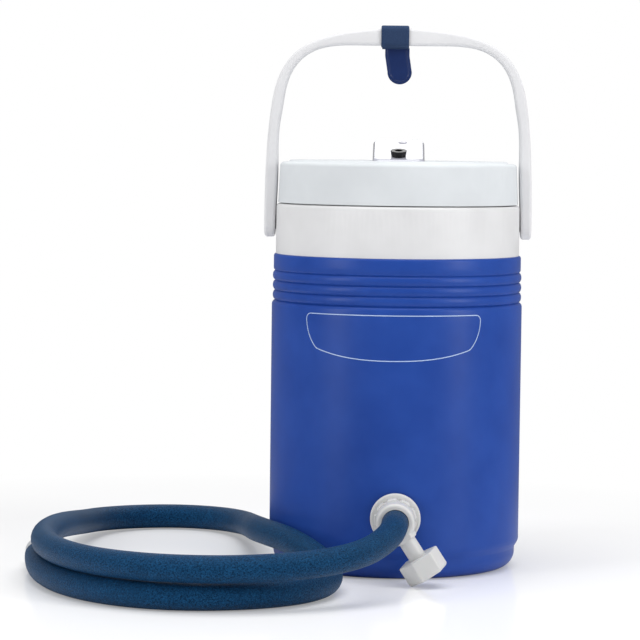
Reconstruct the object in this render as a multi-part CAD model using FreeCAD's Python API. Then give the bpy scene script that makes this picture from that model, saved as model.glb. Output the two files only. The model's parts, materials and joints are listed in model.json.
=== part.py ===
import FreeCAD, Part
import os
from math import atan2, cos, degrees, hypot, pi, radians, sin, tan

# Cold and heat therapy cooler: an insulated jug with a screw lid that holds an air pump, a bail
# handle, an outlet with a drain branch, and a foam-covered water hose.
# Millimetres, +Z up. The origin is on the jug's axis at the surface it stands on.
# The outlet faces -Y.

V = FreeCAD.Vector
X_AXIS = V(1, 0, 0)
Y_AXIS = V(0, 1, 0)
Z_AXIS = V(0, 0, 1)

# ---- clearances ----
seat_gap = 0.3            # between a seated piece and what carries it
run_gap = 0.05            # radial clearance of a pin or shaft that turns
slip_gap = 0.2            # radial clearance of pieces that slide into each other
foam_gap = 0.2            # between foam and the wall it fills
touch_gap = 0.02          # between faces that are pressed together
bite = 0.5                # how far two shapes of one moulding run into each other
past = 1.0                # how far a cutting shape runs past a face
tool_reach = 100.0        # half size of the large cutting shapes
near = 0.01               # how close an edge lies to the place it is picked by

# ---- jug: outer shell ----
body_radius = 95.0
shell_wall = 2.5
foot_ring_width = 10.5
foot_recess = 3.0
base_inset = 3.0          # narrower foot below the chamfer
base_edge_radius = 11.5
base_top_z = 15.5
base_chamfer_height = 4.5
body_top_z = 198.0
groove_depth = 2.4
groove_step = 2.9         # height of the rounded shoulder down to the first groove
rib_count = 3
rib_pitch = 7.45
rib_height = 1.8
band_inset = 1.2
band_step = 1.3
band_height = 11.55
band_edge_radius = 2.0

# ---- jug: filling plug in the bottom ----
plug_radius = 12.0
plug_flange_radius = 16.0
plug_flange_thickness = 3.0
plug_depth = 6.0

# ---- jug: neck collar and liner ----
neck_inset = 2.7
neck_wall = 3.0
neck_height = 37.8
neck_edge_radius = 2.5
insulation_span = 17.0    # from the shell's outside to the liner's bore
liner_wall = 2.5
liner_floor_z = 17.0
liner_corner_radius = 12.0
shoulder_thickness = 2.9
mouth_step = 5.5          # mouth's outside beyond the liner's bore
mouth_height = 24.1
drip_gap = 0.8            # dark seam between collar and lid
collar_skirt_inset = 1.8
collar_skirt_depth = 6.0
collar_lip_height = 3.0

# ---- lid thread: four starts ----
thread_starts = 4
thread_lead = 32.0        # rise in one turn
thread_depth = 2.8
thread_thickness = 2.6
thread_play = 0.35
ramp_span = 60.0          # degrees, on the mouth
lug_start = 6.0           # degrees past the ramp's low end, lid closed
lug_span = 30.0
ramp_rise = 7.6           # low end of a thread start above the neck
thread_sunk = 1.0         # a thread's root inside the wall it stands on

# ---- lid ----
lid_inset = 1.4
lid_taper = 1.2
lid_skirt_wall = 3.2
lid_height = 31.4         # above the neck
lid_edge_radius = 3.0
lid_roof_thickness = 2.8
lid_edge_ring = 6.2
lid_disc_rise = 1.5
gasket_thickness = 2.0
gasket_outer_inset = 0.5
seal_inset = 1.0          # rib and gasket, from the mouth's bore
plug_gap = 1.6            # between mouth and the lid's plug
plug_reach = 1.9          # below the neck's top
inner_cover_wall = 2.2
inner_cover_corner_radius = 4.0

# ---- pump housing on the lid ----
housing_width = 39.0
housing_front_y = -36.0
housing_back_y = 28.0
housing_front_height = 0.9
housing_slope = 14.04     # degrees
housing_corner_radius = 7.0
housing_edge_radius = 3.2
housing_wall = 2.0
bay_corner_radius = 4.0
bay_half_width = 15.0
bay_front_y = -32.5
bay_back_y = 21.5
foam_bay_half_width = 19.0
foam_bay_front_y = -37.0
foam_bay_back_y = 40.0
foam_bay_corner_radius = 3.0
foam_corner = 2.5
housing_screw_x = 14.5
housing_screw_y = 24.0
housing_screw_radius = 1.5
housing_screw_head_radius = 2.9
housing_screw_head_height = 2.0
housing_screw_length = 9.0
housing_boss_radius = 3.2
housing_screw_slot_width = 0.8
housing_screw_slot_length = 4.0
housing_screw_slot_depth = 0.8

# ---- power socket ----
jack_y = -25.0
jack_ring_radius = 6.15
jack_ring_taper = 0.7
jack_rise = 4.5
jack_body_radius = 5.0
jack_depth = 9.0
jack_bore_radius = 2.85
jack_bore_depth = 10.0
jack_pin_radius = 1.0
jack_pin_recess = 1.0
jack_nut_radius = 7.0
jack_nut_thickness = 2.0

# ---- button, switch and circuit board ----
button_x = 3.0
button_y = 16.0
button_radius = 3.1
button_rise = 0.7
button_travel = 1.2
button_flange_radius = 4.2
button_flange_thickness = 1.0
button_stem_radius = 1.4
button_edge_radius = 0.5
board_width = 20.0
board_centre_x = 0.5
board_length = 14.0
board_thickness = 1.2
board_depth = 8.6         # top of the board below the housing's sloped top
contact_radius = 2.4
contact_thickness = 0.5
dome_outer_radius = 3.9
dome_wall = 0.7
post_radius = 1.8
post_inset = 2.6
board_screw_radius = 1.6
board_screw_head = 1.2

# ---- air pump ----
motor_radius = 12.0
motor_length = 28.0
motor_front_y = 8.0
motor_axis_height = 17.6  # above the bottom of the lid's plug
motor_cap_radius = 4.0
motor_edge_radius = 1.5
motor_cap_length = 2.0
motor_bore_inset = 4.0    # from the motor's rear end
shaft_radius = 1.15
shaft_reach = 8.0
shaft_end_inset = 6.0     # from the motor's rear end
eccentric_radius = 4.2
eccentric_offset = 1.4
eccentric_length = 3.6
eccentric_back_gap = 2.0  # from the motor's face
crank_radius = 1.6
crank_length = 2.4
pump_frame_radius = 11.0
pump_frame_wall = 1.6
pump_frame_length = 11.0
pump_frame_floor = 1.2
shaft_hole_gap = 0.5
diaphragm_thickness = 1.4
diaphragm_dish_radius = 6.0
diaphragm_dish_height = 1.2
pump_head_radius = 11.0
pump_head_length = 7.0
chamber_radius = 7.0
chamber_depth = 2.0
nozzle_radius = 1.9
nozzle_bore_radius = 0.9
nozzle_length = 5.0
nozzle_bare = 1.0         # between pump head and tube
air_tube_outer_radius = 2.9
air_tube_bend = 9.0
air_exit_y = -27.0
air_fitting_flange_radius = 5.5
air_fitting_flange = 1.5
air_fitting_barb = 6.0
air_fitting_tail_radius = 2.9
air_fitting_tail = 3.0
tube_end_gap = 0.5
bracket_width = 30.0
bracket_thickness = 1.6
bracket_cheek = 3.0
bracket_cheek_gap = 0.3
bracket_cheek_inset = 1.0
bracket_cheek_setback = 3.0
bracket_cheek_drop = 3.0  # below the motor's axis
bracket_screw_inset = 3.2
bracket_screw_setback = 12.5
bracket_screw_radius = 2.2
bracket_screw_head = 1.6
bracket_front_y = -4.0

# ---- handle ----
pivot_drop = 15.9         # below the neck's top
handle_width = 20.0
handle_foot_drop = 9.8    # below the pivot
arm_gap = 0.7             # between arm and neck
arm_thickness = 8.2
grip_clearance = 88.6     # above the lid
grip_thickness = 12.9
handle_edge_radius = 2.4
pin_radius = 3.95
pin_head_radius = 6.5
pin_head_thickness = 1.6
pin_depth = 15.5
pin_boss_radius = 8.0
pin_boss_depth = 8.0
pin_boss_inset = 1.0      # from the neck's outside
pin_head_chamfer = 0.5
pin_bore_start_x = 60.0   # well inside the pins' inner ends
pin_bore_length = 60.0

# ---- strap ----
strap_thickness = 1.6
strap_loop_corner_radius = 3.0
strap_loop_width = 21.0
strap_loop_x = -3.7
strap_root_length = 6.4
strap_bend_gap = 0.5      # between root and tail, where the strap bends
strap_tail_width = 18.5
strap_tail_x = -2.0       # where it bends
strap_tail_lean = 1.9     # sideways, over its straight sides
strap_tail_length = 21.0

# ---- outlet ----
outlet_x = 1.1
outlet_z = 46.8
wall_bore_radius = 9.4
bulkhead_radius = 9.0
bulkhead_bore_radius = 6.6
flange_radius = 18.5
flange_thickness = 3.2
flange_edge_radius = 1.4
outlet_gasket_radius = 17.4
outlet_gasket_depth = 2.2
outlet_gasket_saddle = 4.0
thread_tube_reach = 8.6   # in front of the flange
collar_radius = 15.6
collar_length = 8.4
collar_lobes = 9
collar_notch_radius = 2.6
collar_notch_depth = 1.5
collar_edge_radius = 1.2
locknut_radius = 14.5
locknut_thickness = 5.0
inner_washer_radius = 13.5
inner_washer_thickness = 2.0
inner_washer_saddle = 3.0
locknut_to_end = 4.1      # bulkhead beyond the locknut
strainer_length = 6.0
strainer_wall = 1.4
strainer_slots = 8
strainer_slot_width = 2.0
strainer_slot_start = 2.5   # from the outlet's axis
strainer_slot_setback = 1.0
strainer_overlap = 2.0

# ---- tee and drain branch ----
tee_radius = 14.2
tee_length = 15.8
tee_edge_radius = 2.8
tee_socket_depth = 9.0
tee_bore_radius = 4.0
spigot_length = 8.0
o_ring_section = 1.2
o_ring_setback = 5.0      # from the tee's back face
branch_angle = 33.0       # degrees from straight down, towards +X
branch_setback = 8.4      # from the tee's back face
branch_radius = 6.3
branch_bore_radius = 3.6
branch_end = 42.4         # from the outlet's axis
branch_root_radius = 8.5  # thicker root where the branch leaves the tee
branch_root_end = 16.0
branch_root_edge = 1.5
cap_start = 30.2
cap_length = 16.2
cap_turn = 20.0           # degrees, one corner turned past the front
cap_across_flats = 28.2
cap_edge_radius = 2.6
cap_corner_radius = 2.0
cap_rim_radius = 1.2
cap_seal_thickness = 1.6

# ---- hose and its coupling ----
hose_radius = 9.7
bend_share = 0.45         # of the shorter run beside a bend
coupling_radius = 9.3
coupling_length = 26.0
coupling_neck_radius = 7.4
coupling_neck_length = 6.0
coupling_edge_radius = 1.2
coupling_bore_start = 8.0
probe_radius = 4.75
probe_length = 15.0
probe_bore_radius = 2.6
probe_ring_section = 0.9
probe_ring_start = 1.2
probe_ring_pitch = 3.2
latch_length = 12.0
latch_width = 7.0
latch_low = 4.5           # above the coupling's axis
latch_top = 11.1
latch_travel = 1.5
latch_corner_radius = 1.5

# How the hose lies, from the second bend on: across and along in body radii, and the height of
# its centre line in hose radii. It leaves the outlet forward, lies on its own lower strand, turns
# behind the jug's left side, drops to the floor and comes round once more.
HOSE_LIE = [
    (-0.0368, -1.7474, 4.330), (-0.2000, -2.1158, 3.691), (-0.5053, -2.3800, 3.300),
    (-0.8947, -2.5350, 3.120), (-1.3053, -2.6050, 3.065), (-1.7500, -2.5400, 3.060),
    (-2.1600, -2.2900, 3.060), (-2.4700, -1.8800, 3.060), (-2.6600, -1.3600, 3.070),
    (-2.7150, -0.8200, 3.060), (-2.6850, -0.2400, 2.820), (-2.6500, 0.4200, 2.160),
    (-2.6100, 1.0300, 1.480), (-2.5200, 1.4400, 1.180), (-2.2500, 1.7300, 1.060),
    (-1.8700, 1.8300, 1.040), (-1.5050, 1.6900, 1.060), (-1.2800, 1.3500, 1.200),
    (-1.1930, 0.8600, 1.600), (-1.1400, 0.3200, 2.200), (-1.1150, -0.1300, 2.770),
    (-1.0350, -0.4800, 3.010), (-0.7895, -0.8842, 2.835), (-0.5368, -1.2421, 1.856),
    (-0.4526, -1.6211, 1.113), (-0.5684, -2.0450, 1.021), (-0.8737, -2.3600, 1.021),
    (-1.2737, -2.5250, 1.021), (-1.6850, -2.5200, 1.021), (-2.0700, -2.3350, 1.021),
    (-2.3900, -2.0000, 1.021), (-2.6050, -1.5700, 1.021), (-2.7350, -1.1000, 1.021),
    (-2.7950, -0.6200, 1.021),
]
hose_straight = 20.0      # first run, out of the tee
hose_first_drop = 0.4

# ---- derived places ----
base_radius = body_radius - base_inset
foot_radius = base_radius - base_edge_radius
groove_radius = body_radius - groove_depth
band_radius = body_radius - band_inset
band_top_z = body_top_z + groove_step + rib_count * rib_pitch + band_step + band_height
neck_radius = body_radius - neck_inset
neck_top_z = band_top_z + neck_height
liner_bore_radius = body_radius - insulation_span
mouth_radius = liner_bore_radius + mouth_step
mouth_top_z = neck_top_z + mouth_height
ramp_low_z = neck_top_z + ramp_rise
lid_bottom_radius = neck_radius - lid_inset
lid_top_radius = lid_bottom_radius - lid_taper
lid_top_z = neck_top_z + lid_height
lid_disc_radius = lid_top_radius - lid_edge_ring
plug_bottom_z = neck_top_z - plug_reach
motor_axis_z = plug_bottom_z + motor_axis_height
pivot_z = neck_top_z - pivot_drop
handle_foot_z = pivot_z - handle_foot_drop
handle_foot_inner = neck_radius + arm_gap
handle_foot_outer = handle_foot_inner + arm_thickness
handle_grip_under_z = lid_top_z + grip_clearance
handle_grip_top_z = handle_grip_under_z + grip_thickness
lid_disc_z = lid_top_z + lid_disc_rise
lid_roof_z = lid_top_z - lid_roof_thickness
lid_bottom_z = neck_top_z + drip_gap
mouth_crest_radius = mouth_radius + thread_depth
lid_lug_crest_radius = mouth_radius + 2 * seat_gap
skirt_inner_radius = mouth_crest_radius + 2 * seat_gap
plug_outer_radius = liner_bore_radius - plug_gap
housing_slope_z = lid_disc_z + housing_front_height
liner_outer_radius = liner_bore_radius + liner_wall
gasket_top_z = mouth_top_z + gasket_thickness
tail_pivot_z = handle_grip_under_z - seat_gap - strap_thickness - strap_root_length
strap_tail_end_z = tail_pivot_z - strap_tail_length
pin_head_seat_x = handle_foot_outer - pin_head_thickness - seat_gap - slip_gap
jack_along = (jack_y - housing_front_y) / cos(radians(housing_slope))
button_along = (button_y - housing_front_y) / cos(radians(housing_slope))
stem_low = -board_depth + contact_thickness + button_travel + slip_gap
screw_tip_z = lid_roof_z + housing_screw_length
pump_head_back_y = motor_front_y - pump_frame_length - diaphragm_thickness
pump_nozzle_tip_y = pump_head_back_y - pump_head_length - nozzle_length
flange_back_y = -body_radius - outlet_gasket_depth
flange_front_y = flange_back_y - flange_thickness
collar_back_y = flange_front_y - seat_gap
collar_front_y = collar_back_y - collar_length
tee_back_y = collar_front_y - seat_gap
tee_front_y = tee_back_y - tee_length
hose_start_y = tee_front_y + tee_socket_depth
o_ring_y = tee_back_y + o_ring_setback
branch_y = tee_back_y - branch_setback
inner_washer_y = -liner_bore_radius + inner_washer_thickness
bulkhead_inner_end_y = inner_washer_y + locknut_thickness + locknut_to_end
cap_hollow_depth = branch_end - cap_start + run_gap + cap_seal_thickness
SLOPE_NORMAL = V(0, -sin(radians(housing_slope)), cos(radians(housing_slope)))
BRANCH_AXIS = (sin(radians(branch_angle)), 0, -cos(radians(branch_angle)))


def save(name, shape):
    """Write one named piece."""
    shape.exportStep("parts/" + name + ".step")
    print(name, "solids", len(shape.Solids), "volume", round(shape.Volume, 1), shape.isValid())


def line(a, b):
    return Part.LineSegment(V(*a), V(*b)).toShape()


def arc(a, mid, b):
    return Part.Arc(V(*a), V(*mid), V(*b)).toShape()


def revolve_profile(points, arcs=None):
    """Solid of revolution about Z from (radius, z) points; arcs maps a point's index to the
    point that the arc to the next one passes through."""
    arcs = arcs or {}
    edges = []
    count = len(points)
    for i, (r, z) in enumerate(points):
        r_next, z_next = points[(i + 1) % count]
        if i in arcs:
            edges.append(arc((r, 0, z), (arcs[i][0], 0, arcs[i][1]), (r_next, 0, z_next)))
        else:
            edges.append(line((r, 0, z), (r_next, 0, z_next)))
    face = Part.Face(Part.Wire(edges))
    return face.revolve(V(0, 0, 0), Z_AXIS, 360)


def corner_mid(cr, cz, radius, angle):
    """Point on a rounding, given its centre and the angle in degrees from the +R direction."""
    return (cr + radius * cos(radians(angle)), cz + radius * sin(radians(angle)))


def disc(radius, base, top, x=0.0, y=0.0):
    return Part.makeCylinder(radius, top - base, V(x, y, base))


def tube_z(outer, inner, base, top):
    return disc(outer, base, top).cut(disc(inner, base - past, top + past))


def rod(radius, start, direction, length):
    return Part.makeCylinder(radius, length, V(*start), V(*direction))


def block(x0, x1, y0, y1, z0, z1):
    return Part.makeBox(x1 - x0, y1 - y0, z1 - z0, V(x0, y0, z0))


def fuse_all(shapes):
    return shapes[0].multiFuse(shapes[1:]).removeSplitter()


def prism_y(face, depth):
    """Extrude a face in the XZ plane along +Y."""
    return face.extrude(V(0, depth, 0))


def hexagon_prism(corner_radius, length, turn=0.0):
    """Hexagonal bar on +Z from the origin, one corner at the given angle in degrees."""
    points = []
    for i in range(7):
        a = radians(60 * i + turn)
        points.append(V(corner_radius * cos(a), corner_radius * sin(a), 0))
    return Part.Face(Part.makePolygon(points)).extrude(V(0, 0, length))


def level_edges(shape, z):
    """Edges of a shape that lie in the level plane at z."""
    return [e for e in shape.Edges if e.BoundBox.ZLength < near and abs(e.CenterOfMass.z - z) < near]


# ---- jug ----
def rib_profile():
    """Grooved top of the shell's outline, from the last plain wall up to the band's top."""
    points = [(body_radius, body_top_z)]
    first_groove = body_top_z + groove_step
    arcs = {0: corner_mid(groove_radius, body_top_z, body_radius - groove_radius, 50)}
    for i in range(rib_count + 1):
        points.append((groove_radius, first_groove + i * rib_pitch))
        if i < rib_count:
            middle = first_groove + (i + 0.5) * rib_pitch
            arcs[i + 1] = (groove_radius + rib_height, middle)
    last_groove = first_groove + rib_count * rib_pitch
    points.append((band_radius, last_groove + band_step))
    points.append((band_radius, band_top_z - band_edge_radius))
    arcs[len(points) - 1] = corner_mid(band_radius - band_edge_radius,
                                       band_top_z - band_edge_radius, band_edge_radius, 45)
    points.append((band_radius - band_edge_radius, band_top_z))
    return points, arcs


def outer_shell():
    ribs, rib_arcs = rib_profile()
    base = [
        (0, foot_recess),
        (foot_radius - foot_ring_width - foot_recess, foot_recess),
        (foot_radius - foot_ring_width, 0),
        (foot_radius, 0),
        (base_radius, base_edge_radius),
        (base_radius, base_top_z),
        (body_radius, base_top_z + base_chamfer_height),
    ]
    foot_arc_centre = (base_radius - base_edge_radius, base_edge_radius)
    points = base + ribs
    arcs = {3: corner_mid(foot_arc_centre[0], foot_arc_centre[1], base_edge_radius, -45)}
    for i, mid in rib_arcs.items():
        arcs[len(base) + i] = mid
    inner_top = groove_radius - shell_wall
    inner = [
        (inner_top, band_top_z),
        (inner_top, body_top_z),
        (body_radius - shell_wall, body_top_z - groove_step),
        (body_radius - shell_wall, base_top_z + base_chamfer_height),
        (base_radius - shell_wall, base_top_z),
        (base_radius - shell_wall, base_edge_radius + shell_wall),
        (foot_radius - shell_wall, foot_recess + shell_wall),
        (0, foot_recess + shell_wall),
    ]
    shell = revolve_profile(points + inner, arcs)
    plug_hole = disc(plug_radius + slip_gap, 0, foot_recess + shell_wall + past)
    shell = shell.cut(plug_hole)
    return shell.cut(outlet_rod(wall_bore_radius, -body_radius - past, -body_radius + 2 * shell_wall))


def outlet_rod(radius, y_front, y_back):
    """Cylinder on the outlet's axis between two Y places."""
    return rod(radius, (outlet_x, y_front, outlet_z), (0, 1, 0), y_back - y_front)


def rims_at_y(shape, y):
    """Round rims of a shape that lie in one plane square to Y."""
    return [e for e in shape.Edges if len(e.Vertexes) == 1 and abs(e.CenterOfMass.y - y) < near
            and e.BoundBox.YLength < near]


def outlet_ring(outer, inner, y_front, y_back):
    hole = outlet_rod(inner, y_front - past, y_back + past)
    return outlet_rod(outer, y_front, y_back).cut(hole)


def liner_outside(gap=0.0):
    """Outer outline of the liner up to its shoulder, grown by a gap, as a closed solid."""
    r = liner_outer_radius + gap
    low = liner_floor_z - liner_wall - gap
    corner = liner_corner_radius + liner_wall + gap
    points = [
        (0, low),
        (r - corner, low),
        (r, low + corner),
        (r, neck_top_z),
        (0, neck_top_z),
    ]
    arcs = {1: corner_mid(r - corner, low + corner, corner, -45)}
    return revolve_profile(points, arcs)


def wall_insulation():
    """Rigid foam that fills the space between shell and liner."""
    g = foam_gap
    inner_top = groove_radius - shell_wall
    top_z = neck_top_z - shoulder_thickness - g
    skirt_z = band_top_z - collar_skirt_depth - g
    skirt_r = neck_radius - neck_wall - collar_skirt_inset - g
    points = [
        (0, foot_recess + shell_wall + g),
        (foot_radius - shell_wall - g, foot_recess + shell_wall + g),
        (base_radius - shell_wall - g, base_edge_radius + shell_wall + g),
        (base_radius - shell_wall - g, base_top_z + g),
        (body_radius - shell_wall - g, base_top_z + base_chamfer_height + g),
        (body_radius - shell_wall - g, body_top_z - groove_step - g),
        (inner_top - g, body_top_z - g),
        (inner_top - g, skirt_z),
        (skirt_r, skirt_z),
        (skirt_r, top_z),
        (0, top_z),
    ]
    foam = revolve_profile(points).cut(liner_outside(g))
    foam = foam.cut(disc(plug_radius + slip_gap, 0, foot_recess + plug_depth + g))
    foam = foam.cut(outlet_rod(wall_bore_radius, -body_radius, -liner_bore_radius))
    for side in (-1, 1):
        foam = foam.cut(pin_boss(side, foam_gap))
    return foam


def fill_plug():
    """Plug that closes the hole the foam was poured through."""
    body = disc(plug_radius, foot_recess, foot_recess + plug_depth)
    flange = disc(plug_flange_radius, foot_recess - plug_flange_thickness, foot_recess)
    return body.fuse(flange)


def mouth_ramp(index):
    """One thread start on the mouth: a ring sector between two planes that follow the lead."""
    return thread_sector(mouth_radius - thread_sunk, mouth_crest_radius, 360.0 * index / thread_starts,
                         ramp_span, ramp_low_z)


def thread_sector(inner, outer, start, span, low_z):
    """Ring sector of a thread. Its bottom starts at low_z and climbs with the lead. Over a
    short span the helix lies within 0.1 mm of a plane, so the faces are flat."""
    middle = start + span / 2.0
    climb = thread_lead * span / 360.0
    slope = degrees(atan2(thread_lead, 2 * pi * (inner + outer) / 2.0))
    ring = tube_z(outer, inner, low_z - climb, low_z + 2 * climb + thread_thickness)
    half = radians(span / 2.0)
    reach = outer / cos(half) + past
    wedge_face = Part.Face(Part.makePolygon([
        V(0, 0, 0), V(reach * cos(half), -reach * sin(half), 0),
        V(reach * cos(half), reach * sin(half), 0), V(0, 0, 0)]))
    wedge = wedge_face.extrude(V(0, 0, 2 * tool_reach))
    wedge.translate(V(0, 0, low_z - tool_reach))
    slab = Part.makeBox(outer * 1.5, outer * 2, thread_thickness, V(0, -outer, 0))
    slab.rotate(V(0, 0, 0), X_AXIS, slope)
    slab.translate(V(0, 0, low_z + climb / 2.0))
    sector = ring.common(wedge).common(slab)
    sector.rotate(V(0, 0, 0), Z_AXIS, middle)
    return sector


def inner_liner():
    """White vessel with its shoulder and threaded mouth, and the outlet's hole."""
    shoulder_z = neck_top_z - shoulder_thickness
    shoulder_r = neck_radius - neck_wall - slip_gap
    corner = liner_corner_radius
    out_corner = corner + liner_wall
    low = liner_floor_z - liner_wall
    points = [
        (0, low),
        (liner_outer_radius - out_corner, low),
        (liner_outer_radius, low + out_corner),
        (liner_outer_radius, shoulder_z),
        (shoulder_r, shoulder_z),
        (shoulder_r, neck_top_z),
        (mouth_radius, neck_top_z),
        (mouth_radius, mouth_top_z),
        (liner_bore_radius, mouth_top_z),
        (liner_bore_radius, liner_floor_z + corner),
        (liner_bore_radius - corner, liner_floor_z),
        (0, liner_floor_z),
    ]
    arcs = {
        1: corner_mid(liner_outer_radius - out_corner, low + out_corner, out_corner, -45),
        9: corner_mid(liner_bore_radius - corner, liner_floor_z + corner, corner, -45),
    }
    vessel = revolve_profile(points, arcs)
    ramps = [mouth_ramp(i) for i in range(thread_starts)]
    vessel = vessel.multiFuse(ramps)
    hole = outlet_rod(bulkhead_radius + slip_gap, -liner_outer_radius - past,
                      -liner_bore_radius + past)
    return vessel.cut(hole)


def pin_boss(side, grow=0.0):
    """Boss inside the collar that holds a handle pin."""
    outer = neck_radius - pin_boss_inset
    start = outer - pin_boss_depth - grow
    return rod(pin_boss_radius + grow, (side * start, 0, pivot_z), (side, 0, 0), outer - start)


def pin_bore(side, radius):
    """Round hole for a handle pin."""
    return rod(radius, (side * pin_bore_start_x, 0, pivot_z), (side, 0, 0), pin_bore_length)


def neck_collar():
    """White band above the shell, with the bosses for the handle's pins."""
    inner = neck_radius - neck_wall
    points = [
        (neck_radius, band_top_z),
        (neck_radius, neck_top_z - neck_edge_radius),
        (neck_radius - neck_edge_radius, neck_top_z),
        (inner, neck_top_z),
        (inner, band_top_z),
    ]
    arcs = {1: corner_mid(neck_radius - neck_edge_radius, neck_top_z - neck_edge_radius,
                          neck_edge_radius, 45)}
    collar = revolve_profile(points, arcs)
    skirt = tube_z(groove_radius - shell_wall - slip_gap, inner - collar_skirt_inset,
                   band_top_z - collar_skirt_depth, band_top_z)
    lip = tube_z(inner + bite, inner - collar_skirt_inset, band_top_z,
                 band_top_z + collar_lip_height)
    collar = fuse_all([collar, skirt, lip, pin_boss(-1), pin_boss(1)])
    for side in (-1, 1):
        collar = collar.cut(pin_bore(side, pin_radius))
    return collar


# ---- handle ----
def across(fractions, half_span, top_z):
    """One spline from the right foot over the grip to the left foot. The points are fractions of
    the half span and of the rise from foot to grip, for the right half."""
    half = [V(half_span * x, 0, handle_foot_z + (top_z - handle_foot_z) * z)
            for x, z in fractions]
    points = half + [V(-p.x, 0, p.z) for p in reversed(half) if p.x > 0]
    curve = Part.BSplineCurve()
    curve.interpolate(Points=points, InitialTangent=Z_AXIS, FinalTangent=Z_AXIS * -1)
    return curve.toShape()


def handle_outer_edge():
    """Nearly upright arms, round shoulders and a gently bowed grip."""
    fractions = ((1, 0), (0.993, 0.3266), (0.9585, 0.6103), (0.9081, 0.7554), (0.7806, 0.8815),
                 (0.5929, 0.9483), (0.2964, 0.9874), (0, 1))
    return across(fractions, handle_foot_outer, handle_grip_top_z)


def handle_inner_edge():
    """The same way round inside, with a flat underside to the grip."""
    fractions = ((1, 0), (0.983, 0.3555), (0.972, 0.591), (0.9495, 0.678), (0.92, 0.786),
                 (0.828, 0.906), (0.6989, 0.9684), (0.5376, 0.9952), (0.3011, 1), (0, 1))
    return across(fractions, handle_foot_inner, handle_grip_under_z)


def mirrored_x(shape):
    return shape.mirror(V(0, 0, 0), X_AXIS)


def carry_handle():
    """Bail handle: one flat band bent over the lid, with a rounded grip and two eyes."""
    foot = line((handle_foot_outer, 0, handle_foot_z), (handle_foot_inner, 0, handle_foot_z))
    outline = [handle_outer_edge(), handle_inner_edge(), foot, mirrored_x(foot)]
    side = Part.Face(Part.Wire(Part.__sortEdges__(outline)))
    half_width = handle_width / 2.0
    side.translate(V(0, -half_width, 0))
    band = prism_y(side, handle_width)
    long_edges = [e for e in band.Edges if e.Length > handle_width + past]
    band = band.makeFillet(handle_edge_radius, long_edges)
    band = band.common(handle_end_outline())
    for side in (-1, 1):
        recess = rod(pin_head_radius + seat_gap, (side * pin_head_seat_x, 0, pivot_z),
                     (side, 0, 0), arm_thickness)
        band = band.cut(pin_bore(side, pin_radius + run_gap)).cut(recess)
    return band


def handle_end_outline():
    """The handle as seen along X: its two ends are half round, about the pins."""
    half_width = handle_width / 2.0
    reach = handle_foot_outer + past
    centre_z = handle_foot_z + half_width
    upright = block(-reach, reach, -half_width, half_width, centre_z, handle_grip_top_z + past)
    return fuse_all([upright, rod(half_width, (-reach, 0, centre_z), (1, 0, 0), 2 * reach)])


def handle_pins():
    """Two headed pins, pressed into the collar, on which the handle turns."""
    pins = []
    for side in (-1, 1):
        seat = pin_head_seat_x + seat_gap
        shaft = rod(pin_radius, (side * (seat - pin_depth), 0, pivot_z), (side, 0, 0), pin_depth)
        head = rod(pin_head_radius, (side * seat, 0, pivot_z), (side, 0, 0), pin_head_thickness)
        outer_x = seat + pin_head_thickness
        rim = [e for e in head.Edges if abs(abs(e.CenterOfMass.x) - outer_x) < near]
        head = head.makeChamfer(pin_head_chamfer, rim)
        pins.append(shaft.fuse(head).removeSplitter())
    return Part.makeCompound(pins)


def strap_loop():
    """Hook-and-loop strap wound round the grip, with the root that its tail hangs from."""
    inner_y = handle_width / 2.0 + seat_gap
    top = handle_grip_top_z + seat_gap
    under = handle_grip_under_z - seat_gap
    x0 = strap_loop_x - strap_loop_width / 2.0
    x1 = x0 + strap_loop_width
    t = strap_thickness
    loop = block(x0, x1, -inner_y - t, inner_y + t, under - t, top + t)
    corners = [e for e in loop.Edges if abs(e.CenterOfMass.x - strap_loop_x) < near
               and e.Length > strap_loop_width - near]
    loop = loop.makeFillet(strap_loop_corner_radius, corners)
    hole = block(x0 - past, x1 + past, -inner_y, inner_y, under, top)
    loop = loop.cut(hole)
    root = block(strap_tail_x - strap_tail_width / 2.0, strap_tail_x + strap_tail_width / 2.0,
                 -t / 2.0, t / 2.0, tail_pivot_z + t / 2.0 + strap_bend_gap, under - t / 2.0)
    return loop.fuse(root).removeSplitter()


def strap_tail():
    """Free end of the strap, with a rounded tip. It bends at its root."""
    t = strap_thickness
    half = strap_tail_width / 2.0
    x0 = strap_tail_x - half
    x1 = strap_tail_x + half
    tip_z = strap_tail_end_z + half
    low_x0 = x0 + strap_tail_lean
    low_x1 = x1 + strap_tail_lean
    edges = [
        line((x0, 0, tail_pivot_z), (x1, 0, tail_pivot_z)),
        line((x1, 0, tail_pivot_z), (low_x1, 0, tip_z)),
        arc((low_x1, 0, tip_z), (strap_tail_x + strap_tail_lean, 0, strap_tail_end_z),
            (low_x0, 0, tip_z)),
        line((low_x0, 0, tip_z), (x0, 0, tail_pivot_z)),
    ]
    face = Part.Face(Part.Wire(edges))
    face.translate(V(0, -t / 2.0, 0))
    tail = prism_y(face, t)
    roll = rod(t / 2.0, (x0, 0, tail_pivot_z), (1, 0, 0), strap_tail_width)
    return tail.fuse(roll).removeSplitter()


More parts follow.
